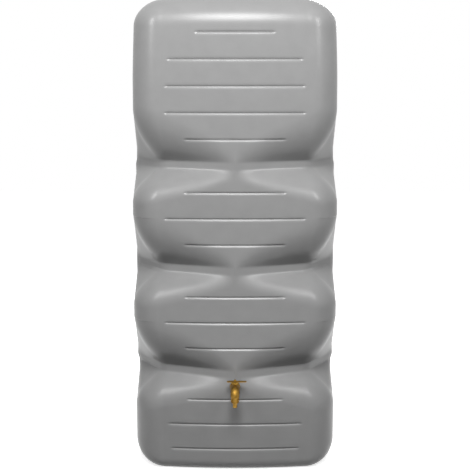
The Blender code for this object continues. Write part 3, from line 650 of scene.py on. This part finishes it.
def tank_ring(z, inset, deep):
    """One ring of the tank at a height, anticlockwise from the middle of the front."""
    bulge, waist = outlines_at(z, inset)
    nearest = min(WAIST_Z, key=lambda waist_z: abs(waist_z - z))
    rise = eased(abs(z - nearest) - BAND_HALF - BAND_GROWS * inset)
    straight = UNDERSIDE_STRAIGHT if z > nearest else SHOULDER_STRAIGHT
    ratio = UNDERSIDE_RATIO if z > nearest else SHOULDER_RATIO
    near_top = smooth(1 - (TANK_HEIGHT - inset - z) / (TOP_ROUND - inset))
    half = []
    for column, (full, low) in enumerate(zip(bulge, waist)):
        share = sink_share(rise / (FLANK_LEAST + ratio * deep[column]), straight)
        x, y = Vector(full).lerp(Vector(low), share)
        if not inset and column <= FRONT_COLUMNS:
            y += groove_sink(x, z)
        half.append((x, y, z - CROWN * near_top * (x / TOP_EDGE_HALF) ** 2))
    return half + [(-x, y, z) for x, y, z in reversed(half[1:-1])]


def ring_heights():
    """Heights of the outer rings: close together in the grooves, over the waists and in the roundings."""
    turns = [1 - math.cos(t * math.pi / 2) for t in shares(ROUND_RINGS)]
    heights = [FOOT_ROUND_SIDE * t for t in turns] + [TANK_HEIGHT - TOP_ROUND * t for t in turns]
    low, high = FOOT_ROUND_SIDE, TANK_HEIGHT - TOP_ROUND
    fixed = [low, high]
    for waist_z in WAIST_Z:
        fixed += [waist_z + side * (BAND_HALF + CREASE_ROUND * t) for side in (-1, 1) for t in (-1, 0, 1)]
        fixed += [waist_z - FLANK_REACH, waist_z, waist_z + FLANK_REACH]
    for step in GROOVE_HALF_LENGTHS:
        z = FIRST_GROOVE_Z + GROOVE_PITCH * step
        fixed += [z + GROOVE_HALF_HEIGHT * t for t in (-1, -0.75, -0.5, -0.25, 0, 0.25, 0.5, 0.75, 1)]
    fixed = sorted(fixed)
    for a, b in zip(fixed, fixed[1:]):
        middle = (a + b) / 2
        near_waist = min(abs(middle - waist_z) for waist_z in WAIST_Z) < FLANK_REACH
        count = math.ceil((b - a) / (FLANK_STEP if near_waist else PLAIN_STEP) - 0.01)
        heights += [a + (b - a) * t for t in shares(max(count, 1))]
    heights.sort()
    kept = [heights[0]]
    for z in heights[1:]:
        if z - kept[-1] > 0.4 * MM or z > high and z - kept[-1] > 0.05 * MM:
            kept.append(z)
    return kept


def inner_heights():
    """Heights of the rings of the tank's inside, which nobody sees close up."""
    low, high = WALL, TANK_HEIGHT - WALL
    turns = [1 - math.cos(t * math.pi / 2) for t in shares(6)]
    foot, top = FOOT_ROUND_SIDE - WALL, TOP_ROUND - WALL
    ends = [low + foot * t for t in turns] + [high - top * t for t in turns]
    count = round((high - top - low - foot) / INNER_STEP)
    plain = [low + foot + (high - top - low - foot) * t for t in shares(count)[1:-1]]
    return sorted(ends + plain)


# ---------------------------------------------------------------- the tank


def make_tank():
    """The hollow moulding with its well and neck, the tap's pad with its hole, and the angles' seats."""
    outside = [tank_ring(z, 0.0, recesses(0.0)) for z in ring_heights()]
    inside = [tank_ring(z, WALL, recesses(WALL)) for z in inner_heights()]
    count = len(outside[0])

    def neck_ring(radius, z):
        turns = [2 * math.pi * i / count for i in range(count)]
        return [(radius * math.sin(a), NECK_Y - radius * math.cos(a), z) for a in turns]

    def deck_ring(share):
        """A ring of the flat top, on the way from its edge to the lip of the well."""
        edge, lip = outside[-1], neck_ring(WELL_LIP_R + 3 * MM, TANK_HEIGHT)
        return [tuple(Vector(a).lerp(Vector(b), share)) for a, b in zip(edge, lip)]

    well = rounded([
        (WELL_LIP_R, TANK_HEIGHT, 3 * MM),
        (WELL_FLOOR_R, WELL_FLOOR_Z, 5 * MM),
        (NECK_OUTER_R, WELL_FLOOR_Z, 3 * MM),
        (NECK_OUTER_R, NECK_RIM_Z, 1.5 * MM),
        (NECK_INNER_R, NECK_RIM_Z, 1.5 * MM),
        (NECK_INNER_R, WELL_FLOOR_Z - WALL, 1.5 * MM),
        (WELL_FLOOR_R + WALL, WELL_FLOOR_Z - WALL, 5 * MM),
        (WELL_LIP_R + WALL, TANK_HEIGHT - WALL, 0),
    ])  # fmt: skip
    rings = outside + [deck_ring(share) for share in (0.04, 0.12, 0.25, 0.4, 0.6, 0.8, 0.92)]
    rings += [neck_ring(radius, z) for radius, z in well] + inside[::-1]
    last = count * len(rings)
    tank = through_rings(
        "water_tank", rings, [tuple(range(count))[::-1], tuple(range(last - count, last))]
    )

    pad_outline = [(PAD_R, -PAD_BACK, 0), (PAD_R, 0, 1 * MM), (HOLE_R + 2 * MM, 0, 0)]
    pad = turn("tap_pad", rounded(pad_outline), solid=True)
    combine(tank, place(pad, (0, PAD_FACE_Y, TAP_Z), (math.pi / 2, 0, 0)), "UNION")
    for side in (-1, 1):
        x = side * ANGLE_X
        low = (x - BLOCK_HALF_X, BACK_Y - BLOCK_FRONT, BLOCK_TOP_Z - BLOCK_THICK)
        high = (x + BLOCK_HALF_X, BACK_Y - BLOCK_BACK, BLOCK_TOP_Z)
        combine(tank, block("angle_seat", low, high, 1.5 * MM), "UNION")
    hole = turn("tap_hole", [(HOLE_R, -PAD_BACK - 5 * MM), (HOLE_R, 5 * MM)], solid=True)
    combine(tank, place(hole, (0, PAD_FACE_Y, TAP_Z), (math.pi / 2, 0, 0)), "DIFFERENCE")
    for side in (-1, 1):
        outline = [(BUSH_R + GAP, -BUSH_LENGTH - GAP), (BUSH_R + GAP, 1 * MM)]
        hole = turn("bush_hole", outline, solid=True, segments=32)
        place(hole, (side * ANGLE_X, BACK_Y - SCREW_FROM_BACK, BLOCK_TOP_Z))
        combine(tank, hole, "DIFFERENCE")
    hand_in(tank, "grey_polyethylene", "tank", "tank_shell", smooth=35)


# ---------------------------------------------------------------- lid


def make_lid():
    """The push-on cover: a rounded disc with a skirt, a raised ring and a grip bar across it."""
    low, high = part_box("lid")
    seal_low, seal_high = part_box("lid_seal")
    under = seal_high.z + GAP
    top = under + 4 * MM
    brim = (high.y - low.y) / 2
    skirt_out, skirt_in = brim - 5 * MM, brim - 8 * MM
    inner_disc = brim * 0.72
    outline = rounded([
        (1 * MM, under, 0),
        (skirt_in, under, 1 * MM),
        (skirt_in, low.z, 0.8 * MM),
        (skirt_out, low.z, 0.8 * MM),
        (skirt_out, under, 1 * MM),
        (brim, under, 1.2 * MM),
        (brim, top, 2 * MM),
        (inner_disc + 4 * MM, top, 1 * MM),
        (inner_disc + 3 * MM, top - 1.2 * MM, 0.6 * MM),
        (inner_disc, top - 1.2 * MM, 0.6 * MM),
        (inner_disc - 1 * MM, top, 1 * MM),
        (1 * MM, top, 0),
    ])  # fmt: skip
    lid = turn("filler_lid", outline, solid=True, segments=96)
    grip_y = 8 * MM
    grip = block("grip", (low.x, -grip_y, top - 1 * MM), (high.x, grip_y, high.z), 0)
    grip_half = 52 * MM
    grip.scale.x = grip_half / high.x
    apply_place(grip)
    soften(grip, 2.5 * MM, 4)
    combine(lid, grip, "UNION")
    place(lid, (0, NECK_Y, 0))
    hand_in(lid, "grey_polyethylene", "lid", "lid")


def make_rings():
    """Washers and seals: turned rings with soft edges, about the tap, the spout or the neck."""
    spout_end = -BEND_RADIUS - SPOUT_THREAD_LENGTH - GAP
    seal_low, seal_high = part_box("lid_seal")
    tap = ((0, PAD_FACE_Y, TAP_Z), (math.pi / 2, 0, 0))
    back = -PAD_BACK - GAP
    rows = [
        ("front_tap_washer", "tap_washer_outer", HOLE_R, WASHER_R, GAP, GAP + WASHER_THICK, tap),
        ("rear_tap_washer", "tap_washer_inner", HOLE_R, WASHER_R, back - WASHER_THICK, back, tap),
        (
            "hose_end_washer", "hose_washer", BORE_R, SPOUT_THREAD_R,
            spout_end - 2 * MM, spout_end, ((0, SPOUT_Y, TAP_Z), (0, 0, 0)),
        ),
    ]  # fmt: skip
    for name, node, inner, outer, low, high, (centre, tilt) in rows:
        soft = 0.6 * MM
        outline = [(inner, low, soft), (outer, low, soft), (outer, high, soft), (inner, high, soft)]
        ring = place(turn(name, rounded(outline, 3)), centre, tilt)
        hand_in(ring, "black_rubber", "tank", node)
    soft = 0.8 * MM
    seal = [
        (NECK_INNER_R, seal_low.z, soft), (NECK_OUTER_R, seal_low.z, soft),
        (NECK_OUTER_R, seal_high.z, soft), (NECK_INNER_R, seal_high.z, soft),
    ]  # fmt: skip
    ring = place(turn("neck_seal", rounded(seal, 3), segments=96), (0, NECK_Y, 0))
    hand_in(ring, "black_rubber", "lid", "lid_seal")


# ---------------------------------------------------------------- the tap


def hexagon(name, radius, low, high, hole_r, skirt=None):
    """A nut: a six-sided bar with its corners turned off at both ends, any skirt, and its hole."""
    bpy.ops.object.select_all(action="DESELECT")
    bpy.ops.mesh.primitive_cylinder_add(
        vertices=6, radius=radius, depth=high - low, location=(0, 0, (low + high) / 2)
    )
    nut = named(name)
    apply_place(nut)
    flat, slope = radius * 0.9, radius * 0.07
    turned = [(flat, low), (radius * 1.02, low + slope), (radius * 1.02, high - slope), (flat, high)]
    combine(nut, turn("turned_corners", turned, solid=True, segments=48), "INTERSECT")
    if skirt:
        combine(nut, turn("skirt", skirt, solid=True, segments=48), "UNION")
        low = skirt[0][1]
    hole = [(hole_r, low - 2 * MM), (hole_r, high + 2 * MM)]
    combine(nut, turn("nut_hole", hole, solid=True, segments=32), "DIFFERENCE")
    soften(nut, 0.25 * MM, 2)
    return nut


def make_tap_body():
    """The cast barrel: threaded inlet, flange, chamber for the ball, and the boss for the spindle."""
    flange_low = GAP + WASHER_THICK + GAP
    flange_high = flange_low + 4 * MM
    inlet_end = -PAD_BACK - WASHER_THICK - LOCK_NUT_THICK - 2.5 * MM
    chamber_low = STEM_REACH - CHAMBER_HALF
    outline = [(BORE_R, inlet_end, 0.3 * MM), (THREAD_R - 1 * MM, inlet_end, 0.3 * MM)]
    pitch, depth = 1.8 * MM, 1.0 * MM
    turns = int((flange_low - inlet_end - 2 * MM) / pitch)
    for i in range(turns):
        z = inlet_end + 1 * MM + i * pitch
        outline += [(THREAD_R, z + pitch * 0.3, 0), (THREAD_R - depth, z + pitch * 0.8, 0)]
    outline += [
        (THREAD_R - depth, flange_low, 0),
        (WASHER_R, flange_low, 0.6 * MM),
        (WASHER_R, flange_high, 1 * MM),
        (BARREL_R - 1.5 * MM, flange_high + 1 * MM, 1.5 * MM),
        (BARREL_R - 1.5 * MM, chamber_low - 2 * MM, 1 * MM),
        (BARREL_R, chamber_low, 1 * MM),
        (BARREL_R, BARREL_END, 0.5 * MM),
        (CHAMBER_R, BARREL_END, 0.4 * MM),
        (CHAMBER_R, chamber_low, 0.4 * MM),
        (BORE_R, chamber_low, 0.4 * MM),
    ]
    body = place(turn("tap_barrel", rounded(outline, 3)), (0, PAD_FACE_Y, TAP_Z), (math.pi / 2, 0, 0))
    boss_low = PACKING_FLOOR - 0.5 * MM
    boss_outline = [(BOSS_R, boss_low, 0), (BOSS_R, BOSS_TOP, 0.6 * MM), (PACKING_R + 2 * MM, BOSS_TOP, 0)]
    boss = turn("boss", rounded(boss_outline), solid=True)
    combine(body, place(boss, STEM_AXIS), "UNION")
    for radius, low in ((PACKING_R, PACKING_FLOOR), (STEM_R + GAP, 5.5 * MM)):
        cutter = turn("room", [(radius, low), (radius, BOSS_TOP + 3 * MM)], solid=True, segments=48)
        combine(body, place(cutter, STEM_AXIS), "DIFFERENCE")
    hand_in(body, "cast_brass", "tank", "tap_body")


def make_spout():
    """The bend: a spigot in the barrel, a thick tube turned down over an arc, and a thread below."""

    def ring(reach, drop, turned, radius, segments=48):
        points = []
        for i in range(segments):
            a = 2 * math.pi * i / segments
            across, up = radius * math.cos(a), radius * math.sin(a)
            y = PAD_FACE_Y - reach - up * math.sin(turned)
            points.append((across, y, TAP_Z + drop + up * math.cos(turned)))
        return points

    steps = 18
    arc = [t * math.pi / 2 for t in shares(steps)]
    path = [
        (BEND_START + BEND_RADIUS * math.sin(a), -BEND_RADIUS * (1 - math.cos(a)), a) for a in arc
    ]
    reach, low = BEND_START + BEND_RADIUS, -BEND_RADIUS
    outer = [ring(BARREL_END - SPIGOT + GAP, 0, 0, CHAMBER_R - GAP)]
    outer += [ring(BARREL_END + GAP, 0, 0, r) for r in (CHAMBER_R - GAP, BARREL_R - 0.5 * MM)]
    outer += [ring(BARREL_END + GAP + 0.5 * MM, 0, 0, BARREL_R)]
    outer += [ring(*station, BARREL_R) for station in path[:-1]]
    down, root = math.pi / 2, SPOUT_THREAD_R - 0.8 * MM
    outer += [ring(reach, low + 0.6 * MM, down, BARREL_R), ring(reach, low, down, BARREL_R - 0.6 * MM)]
    outer += [ring(reach, low, down, root)]
    pitch = 1.4 * MM
    for i in range(SPOUT_THREAD_TURNS):
        drop = low - i * pitch
        outer += [ring(reach, drop - pitch * 0.5, down, SPOUT_THREAD_R)]
        outer += [ring(reach, drop - pitch, down, root)]
    end = low - SPOUT_THREAD_LENGTH
    outer += [ring(reach, end, down, root)]
    inner = [ring(BARREL_END - SPIGOT + GAP, 0, 0, BORE_R)]
    inner += [ring(*station, BORE_R) for station in path]
    inner += [ring(reach, end, down, BORE_R)]
    spout = through_rings("spout_bend", outer + inner[::-1])
    only(spout)
    bpy.ops.object.mode_set(mode="EDIT")
    bpy.ops.mesh.select_all(action="SELECT")
    bpy.ops.mesh.normals_make_consistent(inside=False)
    bpy.ops.object.mode_set(mode="OBJECT")
    hand_in(spout, "cast_brass", "tank", "tap_spout")


def make_lever():
    """The flat lever: a hub drawn out into a long narrow wing and a short broad one, with round tips."""
    low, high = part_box("tap_lever")
    half_hub, thick = 4 * MM, high.z - low.z
    bpy.ops.object.select_all(action="DESELECT")
    middle = STEM_AXIS.x, STEM_AXIS.y, (low.z + high.z) / 2
    hub_width = high.y - low.y
    bpy.ops.mesh.primitive_cube_add(size=1.0, location=middle, scale=(2 * half_hub, hub_width, thick))
    lever = named("lever_handle")
    apply_place(lever)
    for side, reach, tip in ((1, high.x, 5 * MM), (-1, -low.x, 7.5 * MM)):
        stations = []
        for t in shares(6)[1:]:
            x = half_hub + (reach - tip - half_hub) * t
            stations.append((x, hub_width / 2 + (tip - hub_width / 2) * t))
        for t in shares(6)[1:]:
            a = t * math.pi / 2
            stations.append((reach - tip + tip * math.sin(a), max(tip * math.cos(a), 0.12 * tip)))
        bpy.ops.object.mode_set(mode="OBJECT")
        for face in lever.data.polygons:
            face.select = face.normal.x * side > 0.9
        for edge in lever.data.edges:
            edge.select = False
        for vertex in lever.data.vertices:
            vertex.select = False
        only(lever)
        bpy.ops.object.mode_set(mode="EDIT")
        bpy.ops.mesh.select_mode(type="FACE")
        at, width = half_hub, hub_width / 2
        for x, half in stations:
            bpy.ops.mesh.extrude_region_move(TRANSFORM_OT_translate={"value": (side * (x - at), 0, 0)})
            bpy.ops.transform.resize(
                value=(1, half / width, 1), center_override=(side * x, STEM_AXIS.y, middle[2])
            )
            at, width = x, half
        bpy.ops.object.mode_set(mode="OBJECT")
    hole_r = STEM_TOP_R + GAP
    hole = turn("lever_hole", [(hole_r, -5 * MM), (hole_r, 5 * MM)], solid=True, segments=32)
    combine(lever, place(hole, middle), "DIFFERENCE")
    soften(lever, 0.7 * MM, 3, angle=40)
    hand_in(lever, "cast_brass", "lever", "tap_lever")


def make_spindle():
    """The spindle, its packing nut, the lever's nut and the nut inside the tank."""
    gland_low, gland_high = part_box("gland_nut")
    nut_low, nut_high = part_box("tap_lever_nut")
    stem_low, stem_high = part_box("tap_stem")
    gland_r = (gland_high.x - gland_low.x) / 2
    lever_nut_r = (nut_high.x - nut_low.x) / 2
    hex_low, hex_high = BOSS_TOP + GAP, gland_high.z - TAP_Z
    skirt = [(PACKING_R - GAP, gland_low.z - TAP_Z), (PACKING_R - GAP, hex_low + 1 * MM)]
    gland = hexagon("packing_nut", gland_r, hex_low, hex_high, STEM_R + GAP, skirt)
    place(gland, STEM_AXIS)
    hand_in(gland, "turned_brass", "tank", "gland_nut")

    hole_r = STEM_TOP_R + GAP
    low, high = nut_low.z - TAP_Z, nut_high.z - TAP_Z
    nut = place(hexagon("lever_nut", lever_nut_r, low, high, hole_r), STEM_AXIS)
    hand_in(nut, "turned_brass", "lever", "tap_lever_nut")

    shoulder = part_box("tap_lever")[0].z - TAP_Z - GAP
    top = stem_high.z - TAP_Z
    neck = 11.6 * MM
    outline = [(STEM_R, neck, 0.3 * MM), (STEM_R, shoulder, 0.3 * MM), (STEM_TOP_R, shoulder, 0)]
    pitch = 0.8 * MM
    for i in range(int((top - shoulder - 1 * MM) / pitch)):
        z = shoulder + 0.4 * MM + i * pitch
        outline += [(STEM_TOP_R, z, 0), (STEM_TOP_R - 0.3 * MM, z + pitch / 2, 0)]
    outline += [(STEM_TOP_R - 0.1 * MM, top - 0.5 * MM, 0), (STEM_TOP_R - 0.6 * MM, top, 0)]
    stem = turn("lever_spindle", rounded(outline, 2), solid=True, segments=48)
    tang_low = stem_low.z - TAP_Z
    tang = block("tang", (-3.6 * MM, -1.4 * MM, tang_low), (3.6 * MM, 1.4 * MM, neck + 1 * MM), 0.3 * MM)
    combine(stem, tang, "UNION")
    place(stem, STEM_AXIS)
    hand_in(stem, "turned_brass", "lever", "tap_stem")

    high = -PAD_BACK - 2 * GAP - WASHER_THICK
    nut = hexagon("tap_back_nut", LOCK_NUT_R, high - LOCK_NUT_THICK, high, HOLE_R)
    place(nut, (0, PAD_FACE_Y, TAP_Z), (math.pi / 2, 0, 0))
    hand_in(nut, "turned_brass", "tank", "tap_lock_nut")


def make_hose_end():
    """The hose tail with its barbs, and the fluted nut that holds it."""
    tail_low, tail_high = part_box("hose_tail")
    low, high = tail_low.z - TAP_Z, tail_high.z - TAP_Z
    collar_r = (tail_high.x - tail_low.x) / 2
    tail_r = collar_r - 2 * MM
    collar_low = high - 2.4 * MM
    barbs_high = collar_low - 2.6 * MM
    outline = [
        (TAIL_BORE_R, high, 0.3 * MM),
        (collar_r, high, 0.3 * MM),
        (collar_r, collar_low, 0.3 * MM),
        (tail_r, collar_low, 0.3 * MM),
    ]
    pitch = (barbs_high - low) / 2
    for i in range(2):
        edge = barbs_high - i * pitch
        outline += [(tail_r, edge, 0.2 * MM), (tail_r - 1.2 * MM, edge - pitch + 0.3 * MM, 0)]
    outline += [(TAIL_BORE_R, low, 0.3 * MM)]
    tail = place(turn("barbed_hose_tail", rounded(outline, 3)), (0, SPOUT_Y, TAP_Z))
    hand_in(tail, "turned_brass", "tank", "hose_tail")

    nut_low, nut_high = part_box("hose_nut")
    low, high = nut_low.z - TAP_Z, nut_high.z - TAP_Z
    nut_r = (nut_high.x - nut_low.x) / 2
    thread_r = SPOUT_THREAD_R + 0.4 * MM
    lip_high = low + 2 * MM
    tail_hole = tail_r + 0.4 * MM
    outline = [
        (thread_r, high, 0.4 * MM),
        (nut_r - 0.4 * MM, high, 0.6 * MM),
        (nut_r - 0.4 * MM, high - 2.2 * MM, 0.3 * MM),
        (nut_r - 1.2 * MM, high - 2.6 * MM, 0.3 * MM),
        (nut_r, high - 3.2 * MM, 0.4 * MM),
        (nut_r, low + 6 * MM, 0.4 * MM),
        (nut_r - 3 * MM, low, 2.6 * MM),
        (tail_hole, low, 0.3 * MM),
        (tail_hole, lip_high, 0.3 * MM),
        (thread_r, lip_high, 0.3 * MM),
    ]
    nut = turn("hose_union_nut", rounded(outline, 3), segments=NUT_COLUMNS)
    flute_nut(nut, nut_r, low + 6 * MM, high - 3.2 * MM)
    place(nut, (0, SPOUT_Y, TAP_Z))
    hand_in(nut, "turned_brass", "hose_nut", "hose_nut")


def flute_nut(nut, radius, low, high):
    """Sinks every second face of the nut's plain band to make finger flutes."""
    only(nut)
    for face in nut.data.polygons:
        centre = face.center
        outside = math.hypot(centre.x, centre.y) > radius * 0.99
        inside_band = low < centre.z < high and abs(face.normal.z) < 0.1
        face.select = False
        if outside and inside_band:
            turn_share = (math.atan2(centre.y, centre.x) / (2 * math.pi)) % 1.0
            face.select = int(turn_share * NUT_COLUMNS) % 2 == 0
    for part in (*nut.data.edges, *nut.data.vertices):
        part.select = False
    bpy.ops.object.mode_set(mode="EDIT")
    bpy.ops.mesh.select_mode(type="FACE")
    bpy.ops.mesh.inset(use_individual=True, thickness=0.15 * MM, depth=-0.5 * MM)
    bpy.ops.object.mode_set(mode="OBJECT")


# ---------------------------------------------------------------- the wall angles


def make_angles():
    """Pressed steel angles with round corners and a bend radius, and a cross-recessed screw in each."""
    for side, word in ((-1, "left"), (1, "right")):
        low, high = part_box(f"wall_angle_{word}")
        centre = Vector((side * ANGLE_X, BACK_Y - SCREW_FROM_BACK, BLOCK_TOP_Z))
        bpy.ops.object.select_all(action="DESELECT")
        size = Vector((high.x - low.x, high.y - low.y, ANGLE_THICK))
        middle = Vector(((low.x + high.x) / 2, (low.y + high.y) / 2, low.z + ANGLE_THICK / 2))
        bpy.ops.mesh.primitive_cube_add(size=1.0, location=middle, scale=size)
        angle = named(f"pressed_angle_{word}")
        apply_place(angle)
        leg = block("leg", (low.x, high.y - ANGLE_THICK, low.z), high)
        combine(angle, leg, "UNION")
        soften_edges(angle, low, high)
        for radius, where, tilt in (
            (3.3 * MM, centre, (0, 0, 0)),
            (3.2 * MM, Vector((centre.x, high.y, centre.z + 12.8 * MM)), (math.pi / 2, 0, 0)),
        ):
            hole = turn("hole", [(radius, -6 * MM), (radius, 6 * MM)], solid=True, segments=32)
            combine(angle, place(hole, where, tilt), "DIFFERENCE")
        soften(angle, 0.3 * MM, 2, angle=50)
        hand_in(angle, "zinc_steel", "tank", f"wall_angle_{word}")

        screw_low, screw_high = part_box(f"angle_screw_{word}")
        bottom, top = screw_low.z - centre.z, screw_high.z - centre.z
        head_r = (screw_high.x - screw_low.x) / 2
        under = top - 3.4 * MM
        outline = [(1.2 * MM, bottom, 0)]
        pitch = 1.2 * MM
        for i in range(int((under - bottom - 1.5 * MM) / pitch)):
            z = bottom + 0.6 * MM + i * pitch
            outline += [(3 * MM, z, 0), (2.4 * MM, z + pitch / 2, 0)]
        outline += [
            (2.9 * MM, under - 0.6 * MM, 0),
            (2.9 * MM, under, 0.2 * MM),
            (head_r, under, 0.5 * MM),
            (head_r, top - 1.4 * MM, 1 * MM),
            (head_r * 0.6, top, 0),
        ]
        screw = turn(f"cross_screw_{word}", rounded(outline, 3), solid=True, segments=48)
        for across, deep in ((3.4 * MM, 0.6 * MM), (0.6 * MM, 3.4 * MM)):
            slot = block("recess", (-across, -deep, top - 1.8 * MM), (across, deep, top + 1 * MM))
            combine(screw, slot, "DIFFERENCE")
        place(screw, centre)
        hand_in(screw, "zinc_steel", "tank", f"angle_screw_{word}")


def soften_edges(angle, low, high):
    """Rounds the free corners of the plate and the inside and outside of its bend."""
    only(angle)
    bpy.ops.object.mode_set(mode="EDIT")
    bpy.ops.mesh.select_all(action="SELECT")
    bpy.ops.mesh.remove_doubles(threshold=1e-6)
    bpy.ops.mesh.dissolve_limited(angle_limit=math.radians(1))
    bpy.ops.mesh.select_mode(type="EDGE")
    bpy.ops.mesh.select_all(action="DESELECT")
    bpy.ops.object.mode_set(mode="OBJECT")
    for edge in angle.data.edges:
        a, b = (angle.data.vertices[i].co for i in edge.vertices)
        middle = (a + b) / 2
        upright = abs(a.z - b.z) > abs(a.x - b.x) + abs(a.y - b.y)
        along = abs(a.y - b.y) > abs(a.x - b.x) + abs(a.z - b.z)
        free = upright and middle.y < low.y + 1e-5
        free = free or along and middle.z > high.z - 1e-5 and abs(a.y - b.y) < 2 * ANGLE_THICK
        edge.select = free
    bpy.ops.object.mode_set(mode="EDIT")
    bpy.ops.mesh.bevel(offset=5 * MM, segments=6, affect="EDGES")
    bpy.ops.object.mode_set(mode="OBJECT")


# ---------------------------------------------------------------- floor, world and lamps


def make_stage():
    """A pale floor that reads white to the camera and keeps the tank's shadow."""
    bpy.ops.mesh.primitive_plane_add(size=14.0, location=(0, 3.0, 0))
    floor = named("studio_floor")
    apply_place(floor)
    made = bpy.data.materials.new("white_floor_sheet")
    made.use_nodes = True
    tree = made.node_tree
    tree.nodes.clear()
    rays = add_node(tree, "ShaderNodeLightPath")
    seen = any_ray(tree, rays)
    diffuse = add_node(tree, "ShaderNodeBsdfDiffuse", {"Color": linear("#E6E6E6")})
    dim = add_node(tree, "ShaderNodeBsdfDiffuse", {"Color": linear("#565656")})
    # the sheet glows more with distance, so that its far edge is as white as the world behind it
    coordinates = add_node(tree, "ShaderNodeTexCoord")
    away = add_node(tree, "ShaderNodeVectorMath", {0: coordinates.outputs["Object"]}, operation="LENGTH")
    glow_level = add_node(
        tree, "ShaderNodeMapRange",
        {"Value": away.outputs["Value"], "From Min": 0.4, "From Max": 2.5, "To Min": 0.8, "To Max": 1.0},
    )  # fmt: skip
    glow = add_node(
        tree, "ShaderNodeEmission", {"Color": linear("#FFFFFF"), "Strength": glow_level.outputs["Result"]}
    )
    both = add_node(tree, "ShaderNodeAddShader")
    tree.links.new(diffuse.outputs[0], both.inputs[0])
    tree.links.new(glow.outputs[0], both.inputs[1])
    chosen = add_node(tree, "ShaderNodeMixShader", {"Fac": seen})
    tree.links.new(dim.outputs[0], chosen.inputs[1])
    tree.links.new(both.outputs[0], chosen.inputs[2])
    output = add_node(tree, "ShaderNodeOutputMaterial")
    tree.links.new(chosen.outputs[0], output.inputs["Surface"])
    floor.data.materials.append(made)
    bpy.ops.object.select_all(action="DESELECT")


def any_ray(tree, rays):
    """1 for rays from the camera, from a mirror-like bounce or through glass."""
    first = add_node(
        tree, "ShaderNodeMath",
        {0: rays.outputs["Is Camera Ray"], 1: rays.outputs["Is Glossy Ray"]}, operation="MAXIMUM",
    )  # fmt: skip
    both = add_node(
        tree, "ShaderNodeMath",
        {0: first.outputs[0], 1: rays.outputs["Is Transmission Ray"]}, operation="MAXIMUM",
    )  # fmt: skip
    return both.outputs[0]


def make_world():
    """A white room to the eye and in reflections, and a plain dim light on matt surfaces."""
    world = bpy.data.worlds.new("studio")
    world.use_nodes = True
    bpy.context.scene.world = world
    tree = world.node_tree
    tree.nodes.clear()
    rays = add_node(tree, "ShaderNodeLightPath")
    fill = add_node(tree, "ShaderNodeBackground", {"Color": linear("#FFFFFF"), "Strength": 0.04})
    seen = add_node(tree, "ShaderNodeBackground", {"Color": linear("#FFFFFF"), "Strength": 1.0})
    chosen = add_node(tree, "ShaderNodeMixShader", {"Fac": any_ray(tree, rays)})
    tree.links.new(fill.outputs[0], chosen.inputs[1])
    tree.links.new(seen.outputs[0], chosen.inputs[2])
    output = add_node(tree, "ShaderNodeOutputWorld")
    tree.links.new(chosen.outputs[0], output.inputs["Surface"])


def add_lamp(name, location, target, size, watts):
    """A soft box, so wide and so high, aimed at a point."""
    bpy.ops.object.light_add(type="AREA", location=location)
    lamp = bpy.context.object
    lamp.name = lamp.data.name = name
    lamp.rotation_euler = (Vector(target) - Vector(location)).to_track_quat("-Z", "Y").to_euler()
    lamp.data.shape = "RECTANGLE"
    lamp.data.size, lamp.data.size_y = size
    lamp.data.energy = watts


def make_lamps():
    """A large box high in front, an upright strip at each side, and a soft one behind."""
    add_lamp("key_lamp", (0, -2.85, 3.55), (0, FRONT_Y, 0.4), (1.5, 1.4), 152.0)
    add_lamp("left_strip", (-1.45, -1.3, 2.25), (-0.35, 0, 1.6), (0.3, 0.9), 15.0)
    add_lamp("right_strip", (1.45, -1.3, 2.25), (0.35, 0, 1.6), (0.3, 0.9), 14.0)
    add_lamp("back_lamp", (0.6, 3.4, 2.4), (0, BACK_Y, 0.9), (1.2, 1.2), 75.0)


make_tank()
make_lid()
make_rings()
make_tap_body()
make_spout()
make_lever()
make_spindle()
make_hose_end()
make_angles()

CARRIED_OVER = {
    "tap_ball": "chromed_brass",
    "tap_seat_rear": "white_ptfe",
    "tap_seat_front": "white_ptfe",
    "stem_packing": "white_ptfe",
    "angle_bush_left": "turned_brass",
    "angle_bush_right": "turned_brass",
}
for node, finish in CARRIED_OVER.items():
    kept_mesh = frame["nodes"][node].data
    kept_mesh.materials.clear()
    kept_mesh.materials.append(MATERIALS[finish])

make_stage()
make_world()
make_lamps()
